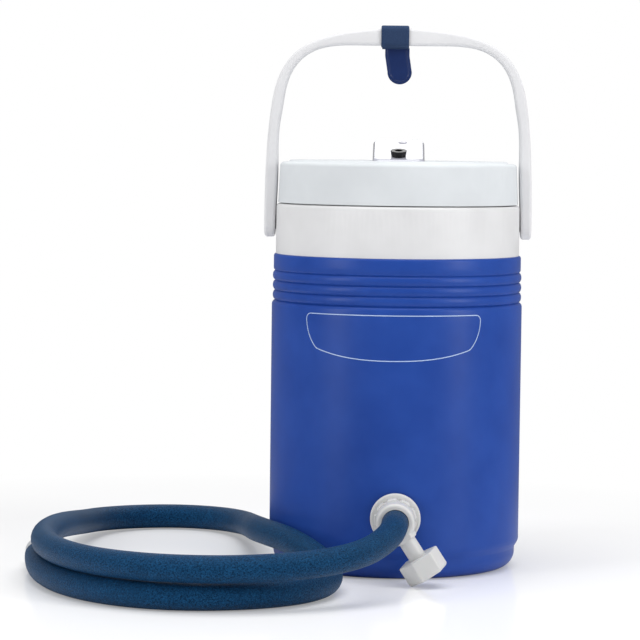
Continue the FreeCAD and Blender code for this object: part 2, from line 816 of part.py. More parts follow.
# ---- lid ----
def lid_shell():
    """Lid moulding: tapered skirt, roof with a raised disc, and the thread's lugs inside."""
    e = lid_edge_radius
    points = [
        (0, lid_disc_z),
        (0, lid_roof_z),
        (skirt_inner_radius, lid_roof_z),
        (skirt_inner_radius, lid_bottom_z),
        (lid_bottom_radius, lid_bottom_z),
        (lid_top_radius, lid_top_z - e),
        (lid_top_radius - e, lid_top_z),
        (lid_disc_radius, lid_top_z),
        (lid_disc_radius - lid_disc_rise, lid_disc_z),
    ]
    arcs = {5: corner_mid(lid_top_radius - e, lid_top_z - e, e, 45)}
    lid = revolve_profile(points, arcs)
    seal_rib = tube_z(mouth_radius, liner_bore_radius + seal_inset, gasket_top_z + seat_gap,
                      lid_roof_z + bite)
    lugs = []
    for i in range(thread_starts):
        start = 360.0 * i / thread_starts + lug_start
        low = ramp_low_z + thread_lead * lug_start / 360.0 - thread_play - thread_thickness
        lugs.append(thread_sector(lid_lug_crest_radius, skirt_inner_radius + thread_sunk, start,
                                  lug_span, low))
    lid = lid.multiFuse([seal_rib] + lugs)
    lid = lid.cut(rounded_block(bay_half_width, bay_front_y, bay_back_y, bay_corner_radius,
                                lid_roof_z - past, lid_disc_z + past))
    for side in (-1, 1):
        lid = lid.cut(disc(housing_screw_radius + slip_gap, lid_roof_z - past, lid_disc_z + past,
                           side * housing_screw_x, housing_screw_y))
    return lid


def rounded_block(half_width, y0, y1, radius, z0, z1):
    """Upright block centred on X = 0 with rounded vertical edges."""
    body = block(-half_width, half_width, y0, y1, z0, z1)
    upright = [e for e in body.Edges if abs(e.Length - (z1 - z0)) < 1e-6
               and e.BoundBox.ZLength > (z1 - z0) - 1e-6]
    return body.makeFillet(radius, upright)


def lid_gasket():
    """Flat sealing ring between mouth and lid."""
    return tube_z(mouth_radius - gasket_outer_inset, liner_bore_radius + seal_inset,
                  mouth_top_z + touch_gap, gasket_top_z)


def lid_inner_cover():
    """Dished cover under the lid: it reaches into the mouth and carries the pump."""
    r = plug_outer_radius
    wall = inner_cover_wall
    corner = inner_cover_corner_radius
    points = [
        (0, plug_bottom_z),
        (r - corner, plug_bottom_z),
        (r, plug_bottom_z + corner),
        (r, lid_roof_z - slip_gap),
        (r - wall, lid_roof_z - slip_gap),
        (r - wall, plug_bottom_z + corner),
        (r - corner, plug_bottom_z + wall),
        (0, plug_bottom_z + wall),
    ]
    arcs = {1: corner_mid(r - corner, plug_bottom_z + corner, corner, -45),
            5: corner_mid(r - corner, plug_bottom_z + corner, corner - wall, -45)}
    cover = revolve_profile(points, arcs)
    return cover.cut(disc(air_fitting_tail_radius + slip_gap, plug_bottom_z - past,
                          plug_bottom_z + wall + past, 0, air_exit_y))


def lid_insulation():
    """Foam ring inside the lid, with the bay for the pump."""
    top = lid_roof_z - foam_gap
    low = plug_bottom_z + inner_cover_wall + foam_gap
    r = plug_outer_radius - inner_cover_wall - foam_gap
    points = [(0, low), (r - foam_corner, low), (r, low + foam_corner), (r, top), (0, top)]
    foam = revolve_profile(points)
    bay = rounded_block(foam_bay_half_width, foam_bay_front_y, foam_bay_back_y,
                        foam_bay_corner_radius, low - past, top + past)
    return foam.cut(bay)


# ---- housing on the lid: its top is sloped, so its fittings use a tilted frame ----
def on_slope(x, along, height):
    """Point given by its distance up the slope from the front edge, and above the slope."""
    a = radians(housing_slope)
    return V(x, housing_front_y + along * cos(a) - height * sin(a),
             housing_slope_z + along * sin(a) + height * cos(a))


def slope_rod(radius, x, along, low, high):
    """Cylinder square to the slope, between two heights above it."""
    return Part.makeCylinder(radius, high - low, on_slope(x, along, low), SLOPE_NORMAL)


def slope_block(x0, x1, along0, along1, low, high):
    body = Part.makeBox(x1 - x0, along1 - along0, high - low)
    body.rotate(V(0, 0, 0), X_AXIS, housing_slope)
    body.translate(on_slope(x0, along0, low))
    return body


def under_slope(depth):
    """Everything lower than a given depth below the housing's sloped top."""
    return slope_block(-tool_reach, tool_reach, -tool_reach, 2 * tool_reach,
                       -depth - 2 * tool_reach, -depth)


def slope_hole(radius, x, along):
    """Round hole through the housing's roof."""
    return slope_rod(radius, x, along, -housing_wall - 2 * past, 3 * past)


def housing_cover():
    """Wedge-shaped cover over the pump bay, with posts for the circuit board and two bosses."""
    w = housing_wall
    full = rounded_block(housing_width / 2.0, housing_front_y, housing_back_y,
                         housing_corner_radius, lid_disc_z - tool_reach, lid_disc_z + tool_reach)
    wedge = full.common(under_slope(0))
    rim = [e for e in wedge.Edges
           if abs(e.CenterOfMass.sub(on_slope(0, 0, 0)).dot(SLOPE_NORMAL)) < 1e-3]
    wedge = wedge.makeFillet(housing_edge_radius, rim)
    above_lid = block(-tool_reach, tool_reach, -tool_reach, tool_reach, lid_disc_z,
                      lid_disc_z + tool_reach)
    wedge = wedge.common(above_lid)
    inside = rounded_block(housing_width / 2.0 - w, housing_front_y + w, housing_back_y - w,
                           housing_corner_radius - w, lid_disc_z - past, lid_disc_z + tool_reach)
    shell = wedge.cut(inside.common(under_slope(w)))
    extras = board_posts()
    for side in (-1, 1):
        boss = disc(housing_boss_radius, lid_disc_z, lid_disc_z + tool_reach,
                    side * housing_screw_x, housing_screw_y)
        extras.append(boss.common(wedge))
    shell = fuse_all([shell] + extras)
    for side in (-1, 1):
        shell = shell.cut(disc(housing_screw_radius, lid_disc_z - past, screw_tip_z + seat_gap,
                               side * housing_screw_x, housing_screw_y))
    shell = shell.cut(slope_hole(jack_body_radius + slip_gap, 0, jack_along))
    return shell.cut(slope_hole(button_radius + slip_gap, button_x, button_along))


def board_posts():
    """Four posts from the housing's roof down to the circuit board."""
    posts = []
    for x in board_post_x():
        for along in board_post_along():
            posts.append(slope_rod(post_radius, x, along, -board_depth + touch_gap,
                                   -housing_wall + bite))
    return posts


def board_post_x():
    return (board_centre_x - board_width / 2.0 + post_inset,
            board_centre_x + board_width / 2.0 - post_inset)


def board_post_along():
    return (button_along - board_length / 2.0 + post_inset,
            button_along + board_length / 2.0 - post_inset)


def circuit_board():
    half_l = board_length / 2.0
    return slope_block(board_centre_x - board_width / 2.0, board_centre_x + board_width / 2.0,
                       button_along - half_l, button_along + half_l,
                       -board_depth - board_thickness, -board_depth)


def board_screws():
    """Two screws from below through opposite corners of the board into its posts."""
    screws = []
    corners = ((board_post_x()[0], board_post_along()[0]),
               (board_post_x()[1], board_post_along()[1]))
    for x, along in corners:
        underside = -board_depth - board_thickness
        screws.append(slope_rod(board_screw_radius, x, along, underside - board_screw_head,
                                underside))
    return Part.makeCompound(screws)


def switch_contact():
    """Contact pad on the board that the button's dome presses."""
    return slope_rod(contact_radius, button_x, button_along, -board_depth,
                     -board_depth + contact_thickness)


def power_button():
    """Round button: cap through the roof, a flange that keeps it in, and a stem."""
    roof = -housing_wall - seat_gap
    cap = slope_rod(button_radius, button_x, button_along, roof - bite, button_rise)
    top_centre = on_slope(button_x, button_along, button_rise)
    cap = cap.makeFillet(button_edge_radius, [e for e in cap.Edges
                                              if e.CenterOfMass.distanceToPoint(top_centre) < near])
    flange = slope_rod(button_flange_radius, button_x, button_along,
                       roof - button_flange_thickness, roof)
    stem = slope_rod(button_stem_radius, button_x, button_along, stem_low, roof - bite)
    return fuse_all([cap, flange, stem])


def button_dome():
    """Silicone sleeve between flange and board that pushes the button back."""
    low = -board_depth + touch_gap
    high = -housing_wall - seat_gap - button_flange_thickness - touch_gap
    outer = slope_rod(dome_outer_radius, button_x, button_along, low, high)
    return outer.cut(slope_rod(dome_outer_radius - dome_wall, button_x, button_along,
                               low - past, high + past))


def housing_screws():
    """Two screws from inside the lid up into the housing's bosses."""
    screws = []
    for side in (-1, 1):
        x = side * housing_screw_x
        head_z = lid_roof_z - housing_screw_head_height
        head = disc(housing_screw_head_radius, head_z, lid_roof_z, x, housing_screw_y)
        shank = disc(housing_screw_radius, lid_roof_z, screw_tip_z, x, housing_screw_y)
        half_width = housing_screw_slot_width / 2.0
        half_length = housing_screw_slot_length / 2.0
        slot = block(x - half_width, x + half_width, housing_screw_y - half_length,
                     housing_screw_y + half_length, head_z - past, head_z + housing_screw_slot_depth)
        screws.append(head.fuse(shank).removeSplitter().cut(slot))
    return Part.makeCompound(screws)


def dc_jack():
    """Barrel power socket, square to the slope, with its centre pin."""
    ring = Part.makeCone(jack_ring_radius - jack_ring_taper, jack_ring_radius, jack_rise,
                         on_slope(0, jack_along, 0), SLOPE_NORMAL)
    barrel = slope_rod(jack_body_radius, 0, jack_along, -jack_depth, bite)
    body = ring.fuse(barrel)
    bore_low = jack_rise - jack_bore_depth
    body = body.cut(slope_rod(jack_bore_radius, 0, jack_along, bore_low, jack_rise + past))
    pin = slope_rod(jack_pin_radius, 0, jack_along, bore_low - bite, jack_rise - jack_pin_recess)
    return body.fuse(pin).removeSplitter()


def jack_nut():
    """Hexagon nut that clamps the socket under the housing's roof."""
    nut = hexagon_prism(jack_nut_radius, jack_nut_thickness)
    nut = nut.cut(disc(jack_body_radius + touch_gap, -past, jack_nut_thickness + past))
    nut.rotate(V(0, 0, 0), X_AXIS, housing_slope)
    nut.translate(on_slope(0, jack_along, -housing_wall - touch_gap - jack_nut_thickness))
    return nut


# ---- air pump ----
def pump_rod(radius, y_front, y_back, x=0.0):
    """Cylinder along Y at the height of the motor's axis."""
    return rod(radius, (x, y_front, motor_axis_z), (0, 1, 0), y_back - y_front)


def pump_motor():
    """Motor can with its front boss and rear cap, bored for the shaft."""
    back = motor_front_y + motor_length
    can = pump_rod(motor_radius, motor_front_y, back)
    can = can.makeFillet(motor_edge_radius, rims_at_y(can, motor_front_y) + rims_at_y(can, back))
    cap = pump_rod(motor_cap_radius, back - bite, back + motor_cap_length)
    can = fuse_all([can, cap])
    return can.cut(pump_rod(shaft_radius + run_gap, motor_front_y - past, back - motor_bore_inset))


def motor_shaft():
    return pump_rod(shaft_radius, motor_front_y - shaft_reach,
                    motor_front_y + motor_length - shaft_end_inset)


def eccentric():
    """Crank disc pressed on the motor's shaft. Its boss is off centre."""
    back = motor_front_y - eccentric_back_gap
    front = back - eccentric_length
    wheel = pump_rod(eccentric_radius, front, back)
    crank = pump_rod(crank_radius, front - crank_length, front, eccentric_offset)
    hub = fuse_all([wheel, crank])
    return hub.cut(pump_rod(shaft_radius, motor_front_y - shaft_reach, back + past))


def pump_frame():
    """Cup between motor and diaphragm that the crank turns in."""
    back = motor_front_y - touch_gap
    front = motor_front_y - pump_frame_length
    cup = pump_rod(pump_frame_radius, front, back)
    hollow = pump_rod(pump_frame_radius - pump_frame_wall, front - past, back - pump_frame_floor)
    bore = pump_rod(shaft_radius + shaft_hole_gap, front - past, back + past)
    return cup.cut(hollow).cut(bore)


def pump_diaphragm():
    """Rubber disc with a raised centre that the crank pushes."""
    back = motor_front_y - pump_frame_length - touch_gap
    front = back - diaphragm_thickness
    sheet = pump_rod(pump_frame_radius, front, back)
    dish = pump_rod(diaphragm_dish_radius, back - bite, back + diaphragm_dish_height)
    return fuse_all([sheet, dish])


def pump_head():
    """Valve chamber with the air nozzle."""
    back = pump_head_back_y - 2 * touch_gap
    front = back - pump_head_length
    head = pump_rod(pump_head_radius, front, back)
    chamber = pump_rod(chamber_radius, back - chamber_depth, back + past)
    nozzle = pump_rod(nozzle_radius, front - nozzle_length, front + bite)
    head = fuse_all([head, nozzle]).cut(chamber)
    return head.cut(pump_rod(nozzle_bore_radius, front - nozzle_length - past, back))


def pump_bracket():
    """Plate with two cheeks that cradle the motor, screwed to the inner cover."""
    low = plug_bottom_z + inner_cover_wall + touch_gap
    back = motor_front_y + motor_length
    half_width = bracket_width / 2.0
    plate = block(-half_width, half_width, bracket_front_y, back, low, low + bracket_thickness)
    cheek_x = half_width - bracket_cheek_inset
    cheeks = []
    for y0 in (motor_front_y + bracket_cheek_setback, back - bracket_cheek_setback - bracket_cheek):
        cheeks.append(block(-cheek_x, cheek_x, y0, y0 + bracket_cheek, low + bite,
                            motor_axis_z - bracket_cheek_drop))
    bracket = fuse_all([plate] + cheeks)
    return bracket.cut(pump_rod(motor_radius + bracket_cheek_gap / 2.0, bracket_front_y - past,
                                back + past))


def bracket_screws():
    """Four screws that hold the bracket down on the inner cover."""
    top = plug_bottom_z + inner_cover_wall + touch_gap + bracket_thickness
    screw_x = bracket_width / 2.0 - bracket_screw_inset
    screws = []
    for x in (-screw_x, screw_x):
        for y in (bracket_front_y + bracket_screw_inset, motor_front_y + bracket_screw_setback):
            screws.append(disc(bracket_screw_radius, top + touch_gap, top + bracket_screw_head, x, y))
    return Part.makeCompound(screws)


def air_tube():
    """Silicone tube from the pump's nozzle, bent down to the fitting in the inner cover."""
    start_y = pump_nozzle_tip_y + nozzle_length - nozzle_bare
    bend_y = air_exit_y + air_tube_bend
    bottom = plug_bottom_z + inner_cover_wall + air_fitting_flange + tube_end_gap
    centre_z = motor_axis_z - air_tube_bend
    mid_y = bend_y - air_tube_bend * sin(radians(45))
    mid_z = centre_z + air_tube_bend * cos(radians(45))
    edges = [
        line((0, start_y, motor_axis_z), (0, bend_y, motor_axis_z)),
        arc((0, bend_y, motor_axis_z), (0, mid_y, mid_z), (0, air_exit_y, centre_z)),
        line((0, air_exit_y, centre_z), (0, air_exit_y, bottom)),
    ]
    wire = Part.Wire(edges)
    outer = sweep_circle(wire, air_tube_outer_radius, V(0, start_y, motor_axis_z), V(0, -1, 0))
    inner = sweep_circle(wire, nozzle_radius + touch_gap, V(0, start_y, motor_axis_z), V(0, -1, 0))
    return outer.cut(inner)


def sweep_circle(wire, radius, start, direction):
    circle = Part.Wire(Part.makeCircle(radius, start, direction))
    return wire.makePipeShell([circle], True, False)


def air_fitting():
    """Barbed fitting through the inner cover that lets the air into the jug."""
    low = plug_bottom_z + inner_cover_wall
    tip = low + air_fitting_barb
    end = plug_bottom_z - air_fitting_tail
    flange = disc(air_fitting_flange_radius, low + touch_gap, low + air_fitting_flange, 0,
                  air_exit_y)
    barb = disc(nozzle_radius, low, tip, 0, air_exit_y)
    tail = disc(air_fitting_tail_radius, end, low + bite, 0, air_exit_y)
    body = fuse_all([flange, barb, tail])
    return body.cut(disc(nozzle_bore_radius, end - past, tip + past, 0, air_exit_y))


# ---- outlet ----
def outlet_gasket():
    """Rubber saddle between the round jug and the flat flange."""
    pad = outlet_ring(outlet_gasket_radius, bulkhead_radius + slip_gap,
                      -body_radius - outlet_gasket_depth, -body_radius + outlet_gasket_saddle)
    return pad.cut(disc(body_radius + touch_gap, 0, body_top_z))


def outlet_bulkhead():
    """Flanged threaded tube through the jug's wall."""
    tube_front_y = flange_front_y - thread_tube_reach
    flange = outlet_rod(flange_radius, flange_front_y, flange_back_y - touch_gap)
    flange = flange.makeFillet(flange_edge_radius, rims_at_y(flange, flange_front_y))
    tube = outlet_rod(bulkhead_radius, tube_front_y, bulkhead_inner_end_y)
    body = fuse_all([flange, tube])
    return body.cut(outlet_rod(bulkhead_bore_radius, tube_front_y - past,
                               bulkhead_inner_end_y + past))


def inner_washer():
    """Sealing washer between liner and locknut, curved to the liner on one side."""
    washer = outlet_ring(inner_washer_radius, bulkhead_radius + slip_gap,
                         -liner_bore_radius - inner_washer_saddle, inner_washer_y)
    return washer.common(disc(liner_bore_radius - touch_gap, 0, body_top_z))


def locknut():
    """Hexagon nut inside the jug."""
    nut = hexagon_prism(locknut_radius, locknut_thickness)
    nut.rotate(V(0, 0, 0), X_AXIS, -90)
    nut.translate(V(outlet_x, inner_washer_y + touch_gap, outlet_z))
    return nut.cut(outlet_rod(bulkhead_radius + touch_gap, -liner_bore_radius, 0))


def strainer():
    """Slotted cup over the outlet's inner end."""
    start = bulkhead_inner_end_y - strainer_overlap
    end = bulkhead_inner_end_y + strainer_length
    outer_r = bulkhead_radius + strainer_wall + touch_gap
    half_slot = strainer_slot_width / 2.0
    cup = outlet_rod(outer_r, start, end)
    cup = cup.cut(outlet_rod(bulkhead_radius + touch_gap, start - past, end - strainer_wall))
    for i in range(strainer_slots):
        slot = block(outlet_x + strainer_slot_start, outlet_x + outer_r + past,
                     bulkhead_inner_end_y + strainer_slot_setback, end + past,
                     outlet_z - half_slot, outlet_z + half_slot)
        slot.rotate(V(outlet_x, 0, outlet_z), Y_AXIS, 360.0 * i / strainer_slots)
        cup = cup.cut(slot)
    return cup


def collar_nut():
    """Hand nut with scalloped rim that holds the tee on the bulkhead."""
    nut = outlet_rod(collar_radius, collar_front_y, collar_back_y)
    nut = nut.makeFillet(collar_edge_radius, rims_at_y(nut, collar_front_y)
                         + rims_at_y(nut, collar_back_y))
    reach = collar_radius + collar_notch_radius - collar_notch_depth
    for i in range(collar_lobes):
        a = 2 * pi * i / collar_lobes
        notch = rod(collar_notch_radius,
                    (outlet_x + reach * cos(a), collar_front_y - past, outlet_z + reach * sin(a)),
                    (0, 1, 0), collar_length + 2 * past)
        nut = nut.cut(notch)
    return nut.cut(outlet_rod(bulkhead_radius + 2 * run_gap, collar_front_y - past,
                              collar_back_y + past))


def branch_point(t):
    """Point on the drain branch's axis, t from the outlet's axis."""
    a = radians(branch_angle)
    return (outlet_x + t * sin(a), branch_y, outlet_z - t * cos(a))


def branch_root():
    """Thicker start of the branch, kept between the tee's front and back faces."""
    root = rod(branch_root_radius, branch_point(0), BRANCH_AXIS, branch_root_end)
    far_end = branch_point(branch_root_end)
    rim = [e for e in root.Edges if len(e.Vertexes) == 1
           and e.CenterOfMass.distanceToPoint(V(*far_end)) < near]
    root = root.makeFillet(branch_root_edge, rim)
    reach = branch_root_end + branch_root_radius
    return root.common(block(outlet_x - reach, outlet_x + reach, tee_front_y, tee_back_y,
                             outlet_z - reach, outlet_z + reach))


def outlet_tee():
    """Tee: a spigot into the bulkhead, a rounded body, the drain branch and the hose's socket."""
    body = outlet_rod(tee_radius, tee_front_y, tee_back_y)
    body = body.makeFillet(tee_edge_radius, rims_at_y(body, tee_front_y))
    branch = rod(branch_radius, branch_point(0), BRANCH_AXIS, branch_end)
    spigot = outlet_rod(bulkhead_bore_radius - slip_gap, tee_back_y - bite,
                        tee_back_y + spigot_length)
    tee = fuse_all([body, branch_root(), branch, spigot])
    groove = outlet_ring(bulkhead_bore_radius + past, bulkhead_bore_radius - o_ring_section,
                         o_ring_y - o_ring_section / 2.0, o_ring_y + o_ring_section / 2.0)
    bore = outlet_rod(tee_bore_radius, tee_front_y - past, tee_back_y + spigot_length + past)
    socket = outlet_rod(hose_radius + slip_gap, tee_front_y - past, hose_start_y)
    drain = rod(branch_bore_radius, branch_point(0), BRANCH_AXIS, branch_end + past)
    return tee.cut(groove).cut(bore).cut(socket).cut(drain)


def tee_o_ring():
    """Seal in the spigot's groove."""
    half_width = o_ring_section / 2.0 - run_gap
    return outlet_ring(bulkhead_bore_radius - touch_gap,
                       bulkhead_bore_radius - o_ring_section + touch_gap,
                       o_ring_y - half_width, o_ring_y + half_width)


def drain_cap():
    """Hexagon cap on the drain branch."""
    corner_radius = cap_across_flats / 2.0 / cos(radians(30))
    cap = hexagon_prism(corner_radius, cap_length, 90 + cap_turn)
    cap = cap.makeFillet(cap_corner_radius, [e for e in cap.Edges if e.BoundBox.ZLength > near])
    cap = cap.makeFillet(cap_edge_radius, level_edges(cap, cap_length))
    cap = cap.makeFillet(cap_rim_radius, level_edges(cap, 0))
    return onto_branch(cap.cut(disc(branch_radius + 2 * run_gap, -past, cap_hollow_depth)))


def onto_branch(shape):
    """Move a shape made along +Z at the origin onto the branch, at the cap's rim."""
    shape.rotate(V(0, 0, 0), Y_AXIS, 180.0 - branch_angle)
    shape.translate(V(*branch_point(cap_start)))
    return shape


def cap_seal():
    """Washer in the bottom of the cap."""
    low = cap_hollow_depth - cap_seal_thickness
    return onto_branch(disc(branch_radius, low + touch_gap, cap_hollow_depth - touch_gap))


# ---- hose ----
def rounded_route(points):
    """Straight runs joined by tangent arcs, and the arcs' radii."""
    edges = []
    radii = []
    start = V(*points[0])
    for i in range(1, len(points) - 1):
        corner = V(*points[i])
        back = V(*points[i - 1]).sub(corner)
        ahead = V(*points[i + 1]).sub(corner)
        tangent = bend_share * min(back.Length, ahead.Length)
        turn = pi - back.getAngle(ahead)
        radius = tangent / tan(turn / 2.0)
        radii.append(radius)
        back.normalize()
        ahead.normalize()
        first = corner + back * tangent
        last = corner + ahead * tangent
        inward = back + ahead
        inward.normalize()
        centre = corner + inward * hypot(radius, tangent)
        middle = centre - inward * radius
        edges.append(Part.LineSegment(start, first).toShape())
        edges.append(Part.Arc(first, middle, last).toShape())
        start = last
    edges.append(Part.LineSegment(start, V(*points[-1])).toShape())
    return Part.Wire(edges), radii


def hose_route():
    """Corner points of the hose's centre line, from the tee's socket to the coupling."""
    start_y = hose_start_y - seat_gap
    points = [(outlet_x, start_y, outlet_z),
              (outlet_x, start_y - hose_straight, outlet_z - hose_first_drop)]
    for across_share, along_share, height in HOSE_LIE:
        points.append((across_share * body_radius, along_share * body_radius,
                       height * hose_radius))
    return points


def hose():
    route = hose_route()
    wire, radii = rounded_route(route)
    first = V(*route[0])
    direction = V(*route[1]).sub(first)
    tube = sweep_circle(wire, hose_radius, first, direction)
    expected = pi * hose_radius ** 2 * wire.Length
    print("hose length", round(wire.Length, 1), "volume share", round(tube.Volume / expected, 5))
    print("hose radii", [round(r) for r in radii])
    return tube


def hose_end():
    """Place and direction of the hose's far end."""
    before, end = hose_route()[-2:]
    last = V(*end)
    direction = last.sub(V(*before))
    direction.normalize()
    return last, direction


def along_hose_end(radius, start, length):
    """Cylinder on the hose's end axis."""
    last, direction = hose_end()
    return Part.makeCylinder(radius, length, last + direction * start, direction)


def latch_block(length, width, low, high):
    """Block on top of the coupling, lined up with the hose's end."""
    last, direction = hose_end()
    body = Part.makeBox(length, width, high - low, V(-length / 2.0, -width / 2.0, low))
    upright = [e for e in body.Edges if e.BoundBox.ZLength > near]
    body = body.makeFillet(latch_corner_radius, upright)
    body.rotate(V(0, 0, 0), Z_AXIS, degrees(atan2(direction.y, direction.x)))
    centre = last + direction * (coupling_length / 2.0)
    body.translate(centre)
    return body


def hose_coupling():
    """Quick coupling on the hose's far end: grip, neck and a probe with two ring grooves."""
    grip = along_hose_end(coupling_radius, 0, coupling_length)
    grip = grip.makeFillet(coupling_edge_radius, [e for e in grip.Edges if len(e.Vertexes) == 1])
    neck = along_hose_end(coupling_neck_radius, coupling_length - bite,
                          coupling_neck_length + bite)
    probe_start = coupling_length + coupling_neck_length
    probe = along_hose_end(probe_radius, probe_start - bite, probe_length + bite)
    body = fuse_all([grip, neck, probe])
    for start in probe_ring_places():
        body = body.cut(probe_ring(start, probe_radius + past, probe_ring_section, 0))
    body = body.cut(along_hose_end(probe_bore_radius, coupling_bore_start,
                                   probe_start + probe_length))
    pocket = latch_block(latch_length + 2 * slip_gap, latch_width + 2 * slip_gap,
                         latch_low - latch_travel - seat_gap, latch_top + past)
    return body.cut(pocket)


def probe_ring_places():
    """Start of each ring groove, along the hose's end axis."""
    first = coupling_length + coupling_neck_length + probe_ring_start
    return (first, first + probe_ring_pitch)


def probe_ring(start, outer, depth, gap):
    """Ring round the probe, as deep as its groove, less a gap on the sides and inside."""
    ring = along_hose_end(outer, start + gap, 2 * (probe_ring_section - gap))
    core = along_hose_end(probe_radius - depth + gap, start - past,
                          2 * (probe_ring_section + past))
    return ring.cut(core)


def coupling_rings():
    return Part.makeCompound([probe_ring(start, probe_radius, probe_ring_section, touch_gap)
                              for start in probe_ring_places()])


def coupling_latch():
    """Thumb button that releases the coupling."""
    return latch_block(latch_length, latch_width, latch_low, latch_top)


PIECES = [
    outer_shell, wall_insulation, fill_plug, inner_liner, neck_collar, handle_pins,
    carry_handle, strap_loop, strap_tail,
    lid_gasket, lid_shell, lid_inner_cover, lid_insulation, housing_cover, housing_screws,
    dc_jack, jack_nut, circuit_board, board_screws, switch_contact, power_button, button_dome,
    pump_bracket, bracket_screws, pump_motor, motor_shaft, eccentric, pump_frame,
    pump_diaphragm, pump_head, air_tube, air_fitting,
    outlet_gasket, outlet_bulkhead, inner_washer, locknut, strainer, collar_nut, outlet_tee,
    tee_o_ring, drain_cap, cap_seal,
    hose, hose_coupling, coupling_rings, coupling_latch,
]


def main():
    os.makedirs("parts", exist_ok=True)
    for piece in PIECES:
        save(piece.__name__, piece())


main()
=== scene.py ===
# %% [markdown]
# # A cold and heat therapy machine
# The machine is an insulated jug that holds ice water. Its lid carries a small air pump, a foam-covered
# hose leaves it low down at the front, and a bail handle with a strap stands over the lid. The built part
# arrives as a frame: one mesh for each node, in its place, in metres. This lesson dresses that frame. Some
# pieces are made again from their rule, some are softened copies of the frame's own meshes, and every one
# gets a material of its own.

# %% Load the frame
import bisect
import contextlib
import json
import math

import bmesh
import bpy
from mathutils import Matrix, Vector


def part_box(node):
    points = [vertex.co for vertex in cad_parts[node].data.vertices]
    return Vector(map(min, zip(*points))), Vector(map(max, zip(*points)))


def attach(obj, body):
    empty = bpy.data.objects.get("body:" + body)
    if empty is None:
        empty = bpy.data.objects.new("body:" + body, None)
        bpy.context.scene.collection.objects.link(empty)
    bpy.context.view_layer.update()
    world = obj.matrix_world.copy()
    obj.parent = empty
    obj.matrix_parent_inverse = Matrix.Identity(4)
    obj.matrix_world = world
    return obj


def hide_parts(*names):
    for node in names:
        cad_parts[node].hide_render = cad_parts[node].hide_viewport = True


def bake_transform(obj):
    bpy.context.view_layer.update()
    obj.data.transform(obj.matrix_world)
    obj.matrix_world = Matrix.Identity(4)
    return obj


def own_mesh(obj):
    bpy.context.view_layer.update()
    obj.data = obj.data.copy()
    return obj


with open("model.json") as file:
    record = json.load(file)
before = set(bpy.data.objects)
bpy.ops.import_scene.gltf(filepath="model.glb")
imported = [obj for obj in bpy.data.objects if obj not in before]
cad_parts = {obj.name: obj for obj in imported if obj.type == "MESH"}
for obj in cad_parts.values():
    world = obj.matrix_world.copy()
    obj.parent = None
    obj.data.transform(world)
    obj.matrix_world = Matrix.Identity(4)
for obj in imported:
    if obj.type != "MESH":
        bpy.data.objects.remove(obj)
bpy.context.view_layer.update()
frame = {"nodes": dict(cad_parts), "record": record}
MM = 0.001
scene = bpy.context.scene

# %% [markdown]
# ## Camera
# A long lens a good two metres away keeps the jug's sides nearly parallel, as in a catalogue. The camera's
# three axes are worked out from a turn, a tilt and a slight roll, and set as the columns of its matrix.


# %% Set the camera
def put(name, data):
    """An object that shows some data, in the scene."""
    thing = bpy.data.objects.new(name, data)
    scene.collection.objects.link(thing)
    return thing


IMAGE_PX = 640
FOCAL_PX = 2857.3
SENSOR_MM = 36.0
CAMERA_PLACE = Vector((0.0, -2.1717, 0.3236))
CAMERA_TURN = -1.535
CAMERA_TILT = 3.649
CAMERA_ROLL = 0.675
turn, tilt, roll = (math.radians(a) for a in (CAMERA_TURN, CAMERA_TILT, CAMERA_ROLL))
forward = Vector((math.sin(turn) * math.cos(tilt), math.cos(turn) * math.cos(tilt), -math.sin(tilt)))
level_right = Vector((math.cos(turn), -math.sin(turn), 0.0))
level_up = level_right.cross(forward)
camera_right = level_right * math.cos(roll) + level_up * math.sin(roll)
camera_up = level_up * math.cos(roll) - level_right * math.sin(roll)
camera_data = bpy.data.cameras.new("studio_camera")
camera_data.sensor_width = SENSOR_MM
camera_data.lens = FOCAL_PX / IMAGE_PX * SENSOR_MM
camera_data.clip_end = 50.0
camera = put("studio_camera", camera_data)
camera.matrix_world = Matrix.Translation(CAMERA_PLACE) @ Matrix(
    (camera_right, camera_up, -forward)).transposed().to_4x4()
scene.camera = camera
scene.view_settings.view_transform = "Standard"
print("lens:", round(camera_data.lens, 1), "mm")

# %% [markdown]
# ## Helpers for materials
# Colours are written as sRGB hex values and turned to linear by one function. One more function adds a node
# to any tree, sets its properties, and fills its inputs: a socket is linked, a node is linked from its first
# output, and anything else is a value.


# %% Colour and node helpers
def linear(hex_colour):
    """sRGB hex to a linear RGBA tuple."""
    channels = [int(hex_colour[i:i + 2], 16) / 255.0 for i in (1, 3, 5)]
    return tuple(c / 12.92 if c <= 0.04045 else ((c + 0.055) / 1.055) ** 2.4 for c in channels) + (1.0,)


def add(tree, kind, inputs=None, **settings):
    """Add a node, set its properties, and link or set its inputs."""
    node = tree.nodes.new(kind)
    for name, value in settings.items():
        setattr(node, name, value)
    for name, value in (inputs or {}).items():
        if isinstance(value, bpy.types.Node):
            value = value.outputs[0]
        if isinstance(value, bpy.types.NodeSocket):
            tree.links.new(value, node.inputs[name])
        else:
            node.inputs[name].default_value = value
    return node


def new_material(name, **shader_values):
    """An empty material with a Principled shader: (material, tree, shader, object coordinates)."""
    material = bpy.data.materials.new(name)
    material.use_nodes = True
    tree = material.node_tree
    shader = tree.nodes["Principled BSDF"]
    for socket, value in shader_values.items():
        shader.inputs[socket.replace("_", " ")].default_value = value
    place = add(tree, "ShaderNodeTexCoord").outputs["Object"]
    return material, tree, shader, place


